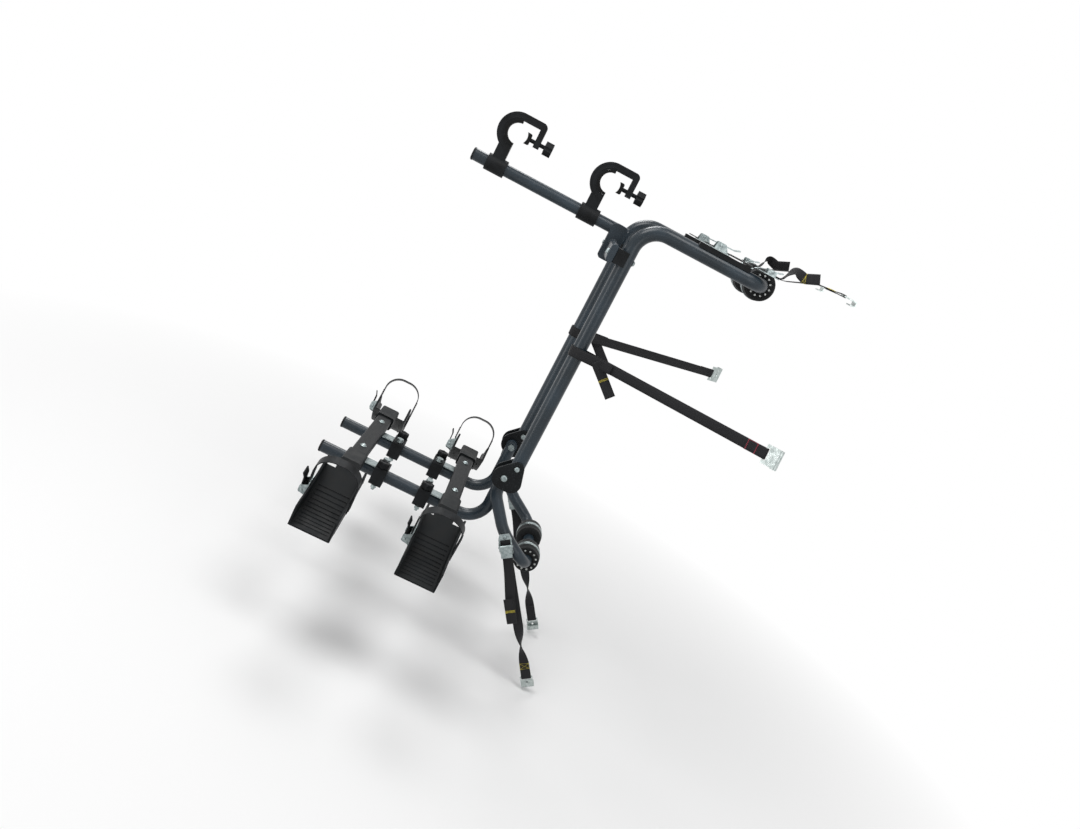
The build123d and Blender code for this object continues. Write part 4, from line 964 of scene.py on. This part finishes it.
hub_half, hub_bead, foot_bead = 10.2 * mm, 10.6 * mm, 9.6 * mm
bead_lines = {
    "arm": ("hoop", [circle_line((18.4 * mm, -19 * mm, saddle_z + way * 14 * mm), foot_bead, 12)
                     for way in (1, -1)]),
    "lower": ("lower", [circle_line((half_width + way * hub_half, 0, 0), hub_bead)
                        for way in (-1, 1)]),
    "platform": ("platform", [circle_line((deck_x + way * hub_half, 0, 0), hub_bead)
                              for way in (-1, 1)]),
}
for word, (body, lines) in bead_lines.items():
    walk("weld_beads", lines, f"{word}_weld_beads", body, "tube_paint")

# %% [markdown]
# ## Ribs of the moulded pieces
# A moulded cup has stiffening ribs under its floor and low treads inside that give it grip, and
# its walls end in a rolled lip. The cup's floor is an arc about one centre, so the ribs are arcs
# too. The clamps' jaws have two curved ribs on each face.


# %% Cup lips
def floor_z(x, radius):
    """The height of an arc about the cups' centre."""
    return hub_z - math.sqrt(radius ** 2 - (hub_x - x) ** 2)


def lip_line(y):
    """The rim of a cup's side wall: up its inner end, along the top and down its outer end."""
    steps, corner, rounding, hub = 30, 22 * mm, 5 * mm, Vector((hub_x, hub_z))
    ends = [Vector((x, floor_z(x, floor_radius))) - hub for x in (293 * mm, 482 * mm)]
    start, end = [math.atan2(p.y, p.x) for p in ends]
    posts = [[hub + p * (1 - rise * mm / floor_radius) for rise in (0, 12, 24, 30, 36, 42, 47)]
             for p in ends]
    rim = []
    for k in range(steps + 1):
        angle = start + (end - start) * k / steps
        from_end = rim_radius * min(abs(angle - start), abs(end - angle))
        drop = corner - math.sqrt(max(0.0, corner ** 2 - max(0.0, corner - from_end) ** 2))
        outward = Vector((math.cos(angle), math.sin(angle)))
        rim.append(hub + outward * (rim_radius + min(drop, rounding)))
    return [(p.x, y, p.y) for p in (*posts[0], *rim, *posts[1][::-1])]


floor_radius, rim_radius, lip_half = 354 * mm, 302 * mm, 46 * mm
print("a cup's lip follows", len(lip_line(0)), "points")

# %% Cup and jaw ribs
arc_steps, tread_step, tread_half = 28, 13 * mm, 39 * mm
under_start, under_end, tread_start = 322 * mm, 478 * mm, 340 * mm
jaw_face, jaw_z = 12.6 * mm, 732 * mm
xs = [under_start + (under_end - under_start) * k / arc_steps for k in range(arc_steps + 1)]
for row, plane_y in row_planes.items():
    under = [[(x, plane_y + offset * mm, floor_z(x, floor_radius + 0.6 * mm)) for x in xs]
             for offset in (-36, -12, 12, 36)]
    treads = []
    for x in [tread_start + k * tread_step for k in range(11)]:
        z = floor_z(x, seat_radius - 0.1 * mm)
        treads.append([(x, plane_y + share * tread_half, z) for share in (-1, -0.5, 0, 0.5, 1)])
    outer_x, _, outer_z = lip_line(plane_y)[-1]
    lips = [lip_line(plane_y - lip_half), lip_line(plane_y + lip_half),
            [(outer_x, plane_y + share * lip_half, outer_z) for share in (-1, -0.5, 0, 0.5, 1)]]
    jaw = [[(jaw_face, plane_y - radius * math.sin(a), jaw_z + radius * math.cos(a))
            for a in [math.radians(degrees) for degrees in range(0, 165, 5)]]
           for radius in (36.5 * mm, 45.5 * mm)]
    rib(under, f"{row}_cup_ribs", f"{row}_carrier", "cup_plastic", 3.0 * mm)
    rib(treads, f"{row}_cup_treads", f"{row}_carrier", "cup_plastic", 2.4 * mm)
    rib(lips, f"{row}_cup_lips", f"{row}_carrier", "cup_plastic", 5.4 * mm)
    rib(jaw, f"{row}_jaw_ribs", f"{row}_clamp", "black_plastic", 2.2 * mm)

# %% [markdown]
# The bands round the rollers are rolled at their edges, which keeps thin steel from cutting the
# foam. The same tree sweeps a fine bead along both edges of each band.

# %% Band rims
band_middle, band_edge, band_proud = (pad_start + pad_end) / 2, 5.4 * mm, 1.3 * mm
for level, (body, bar_y, bar_z, _, radius) in pads.items():
    rims = [circle_line((band_middle + way * band_edge, bar_y, bar_z), radius + band_proud, 72)
            for way in (1, -1)]
    rib(rims, f"{level}_band_rims", body, "zinc", 1.5 * mm)

# %% [markdown]
# Hand knobs clamp the rails to the platform's tubes. A star knob is a moulded nylon cap with
# six lobes for the fingers, pressed over the screw's head. It is turned like the rivets, from a
# profile whose radius swells and shrinks on its way round.

# %% Star knobs
knob_radius, knob_height, lobe_depth = 16, 15, 0.11
knob = lathe("knob_pattern", [
    (knob_radius * share, knob_height * level, lobe_depth * (share if share > 0.6 else 0.2))
    for share, level in ((0.93, 0.0), (1.0, 0.12), (1.0, 0.72), (0.95, 0.9), (0.84, 1.0),
                         (0.5, 1.0), (0.46, 0.86))], 48)
screw_x, screw_top = deck_x + 23 * mm, -121.9 * mm
for row, clamp_y in (("outer", -274 * mm), ("inner", -156 * mm)):
    scatter(knob, [((screw_x, clamp_y, screw_top), (0, 0, 1), 1.0)],
            f"{row}_star_knobs", f"{row}_carrier", "black_plastic")

# %% [markdown]
# ## Clean up and stage
# The pattern pieces have been copied, so they go. The floor is plain and pale. Near the carrier
# it is matt and keeps the shadow, and further out it fades to plain white for the camera, so
# that no horizon shows. The sky is white where it is seen, directly or mirrored, and softer where
# it lights.


# %% Stage
def background_rays(tree):
    """1 for rays that see the plain white background, and 0 for those that light the carrier."""
    path = node(tree, "ShaderNodeLightPath")
    seen = path.outputs["Is Camera Ray"]
    for kind in ("Is Glossy Ray", "Is Transmission Ray"):
        seen = node(tree, "ShaderNodeMath", {0: seen, 1: path.outputs[kind]}, operation="MAXIMUM")
    return seen


for thing in patterns:
    bpy.data.objects.remove(thing)
fade_starts, fade_ends, sky_light = 0.7, 1.9, 0.30
floor_mesh = bmesh.new()
bmesh.ops.create_grid(floor_mesh, x_segments=1, y_segments=1, size=9.0)
floor = put("floor", to_data(floor_mesh, "floor"))
floor.location = (0, 0, cad_low.z - 4 * mm)
floor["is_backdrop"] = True
matt, tree, shader, where = new_material("pale_floor", "#f4f4f4", 0.9)
spread = node(tree, "ShaderNodeVectorMath", {0: where}, operation="LENGTH")
fade = node(tree, "ShaderNodeMapRange", {
    "Value": spread, "From Min": fade_starts, "From Max": fade_ends})
share = node(tree, "ShaderNodeMath", {0: fade, 1: background_rays(tree)}, operation="MULTIPLY")
white = node(tree, "ShaderNodeEmission", {"Color": "#ffffff", "Strength": 1.0})
mixed = node(tree, "ShaderNodeMixShader", {0: share, 1: shader, 2: white})
link(tree, mixed, next(n for n in tree.nodes if n.type == "OUTPUT_MATERIAL").inputs["Surface"])
floor.data.materials.append(matt)
world = bpy.data.worlds.new("studio")
bpy.context.scene.world = world
world.use_nodes = True
tree = world.node_tree
tree.nodes.clear()
strength = node(tree, "ShaderNodeMapRange", {
    "Value": background_rays(tree), "To Min": sky_light, "To Max": 1.0})
sky = node(tree, "ShaderNodeBackground", {"Color": "#ffffff", "Strength": strength})
node(tree, "ShaderNodeOutputWorld", {"Surface": sky})
print("stage ready, floor at", round(floor.location.z, 3))

# %% [markdown]
# Studio light is large and soft. The key stands above the camera's left, a weaker fill low on
# the right and a strip behind. A tube mirrors only what lies square across it, so the arms and
# the uprights each get a lamp of their own, which draws a highlight along them.

# %% Lamps
for name, spot, aim, size, power in (
    ("key", (0.9, -1.6, 2.9), (0, 0, 0.2), 1.9, 50),
    ("fill", (2.6, 1.4, 0.8), (0, 0, 0.2), 1.6, 10),
    ("strip", (-1.6, -0.9, 2.4), (0, 0, 0.3), 1.2, 30),
    ("arm_light", (1.3, 0.5, 2.7), (0.1, 0.1, 0.6), 1.3, 22),
    ("post_light", (1.5, -2.0, 0.0), (0.1, 0.0, 0.3), 1.0, 9),
):
    lamp = bpy.data.lights.new(name, "AREA")
    lamp.shape, lamp.size, lamp.energy = "DISK", size, power
    holder = put(name, lamp)
    holder.location = spot
    holder.rotation_euler = (Vector(aim) - Vector(spot)).to_track_quat("-Z", "Y").to_euler()
bpy.context.scene.view_settings.view_transform = "Standard"
print("lamps placed")

# %% [markdown]
# ## Measure and finish
# The visual model's box is measured again, and how far it grows past the CAD model's box on each
# side is printed. The visual model must stay inside the CAD model's box.

# %% Sizes and finish
new_low, new_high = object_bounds()
growth = [round((a - b) / mm, 1) for a, b in zip((*cad_low, *new_high), (*new_low, *cad_high))]
print("grew by", growth, "mm")
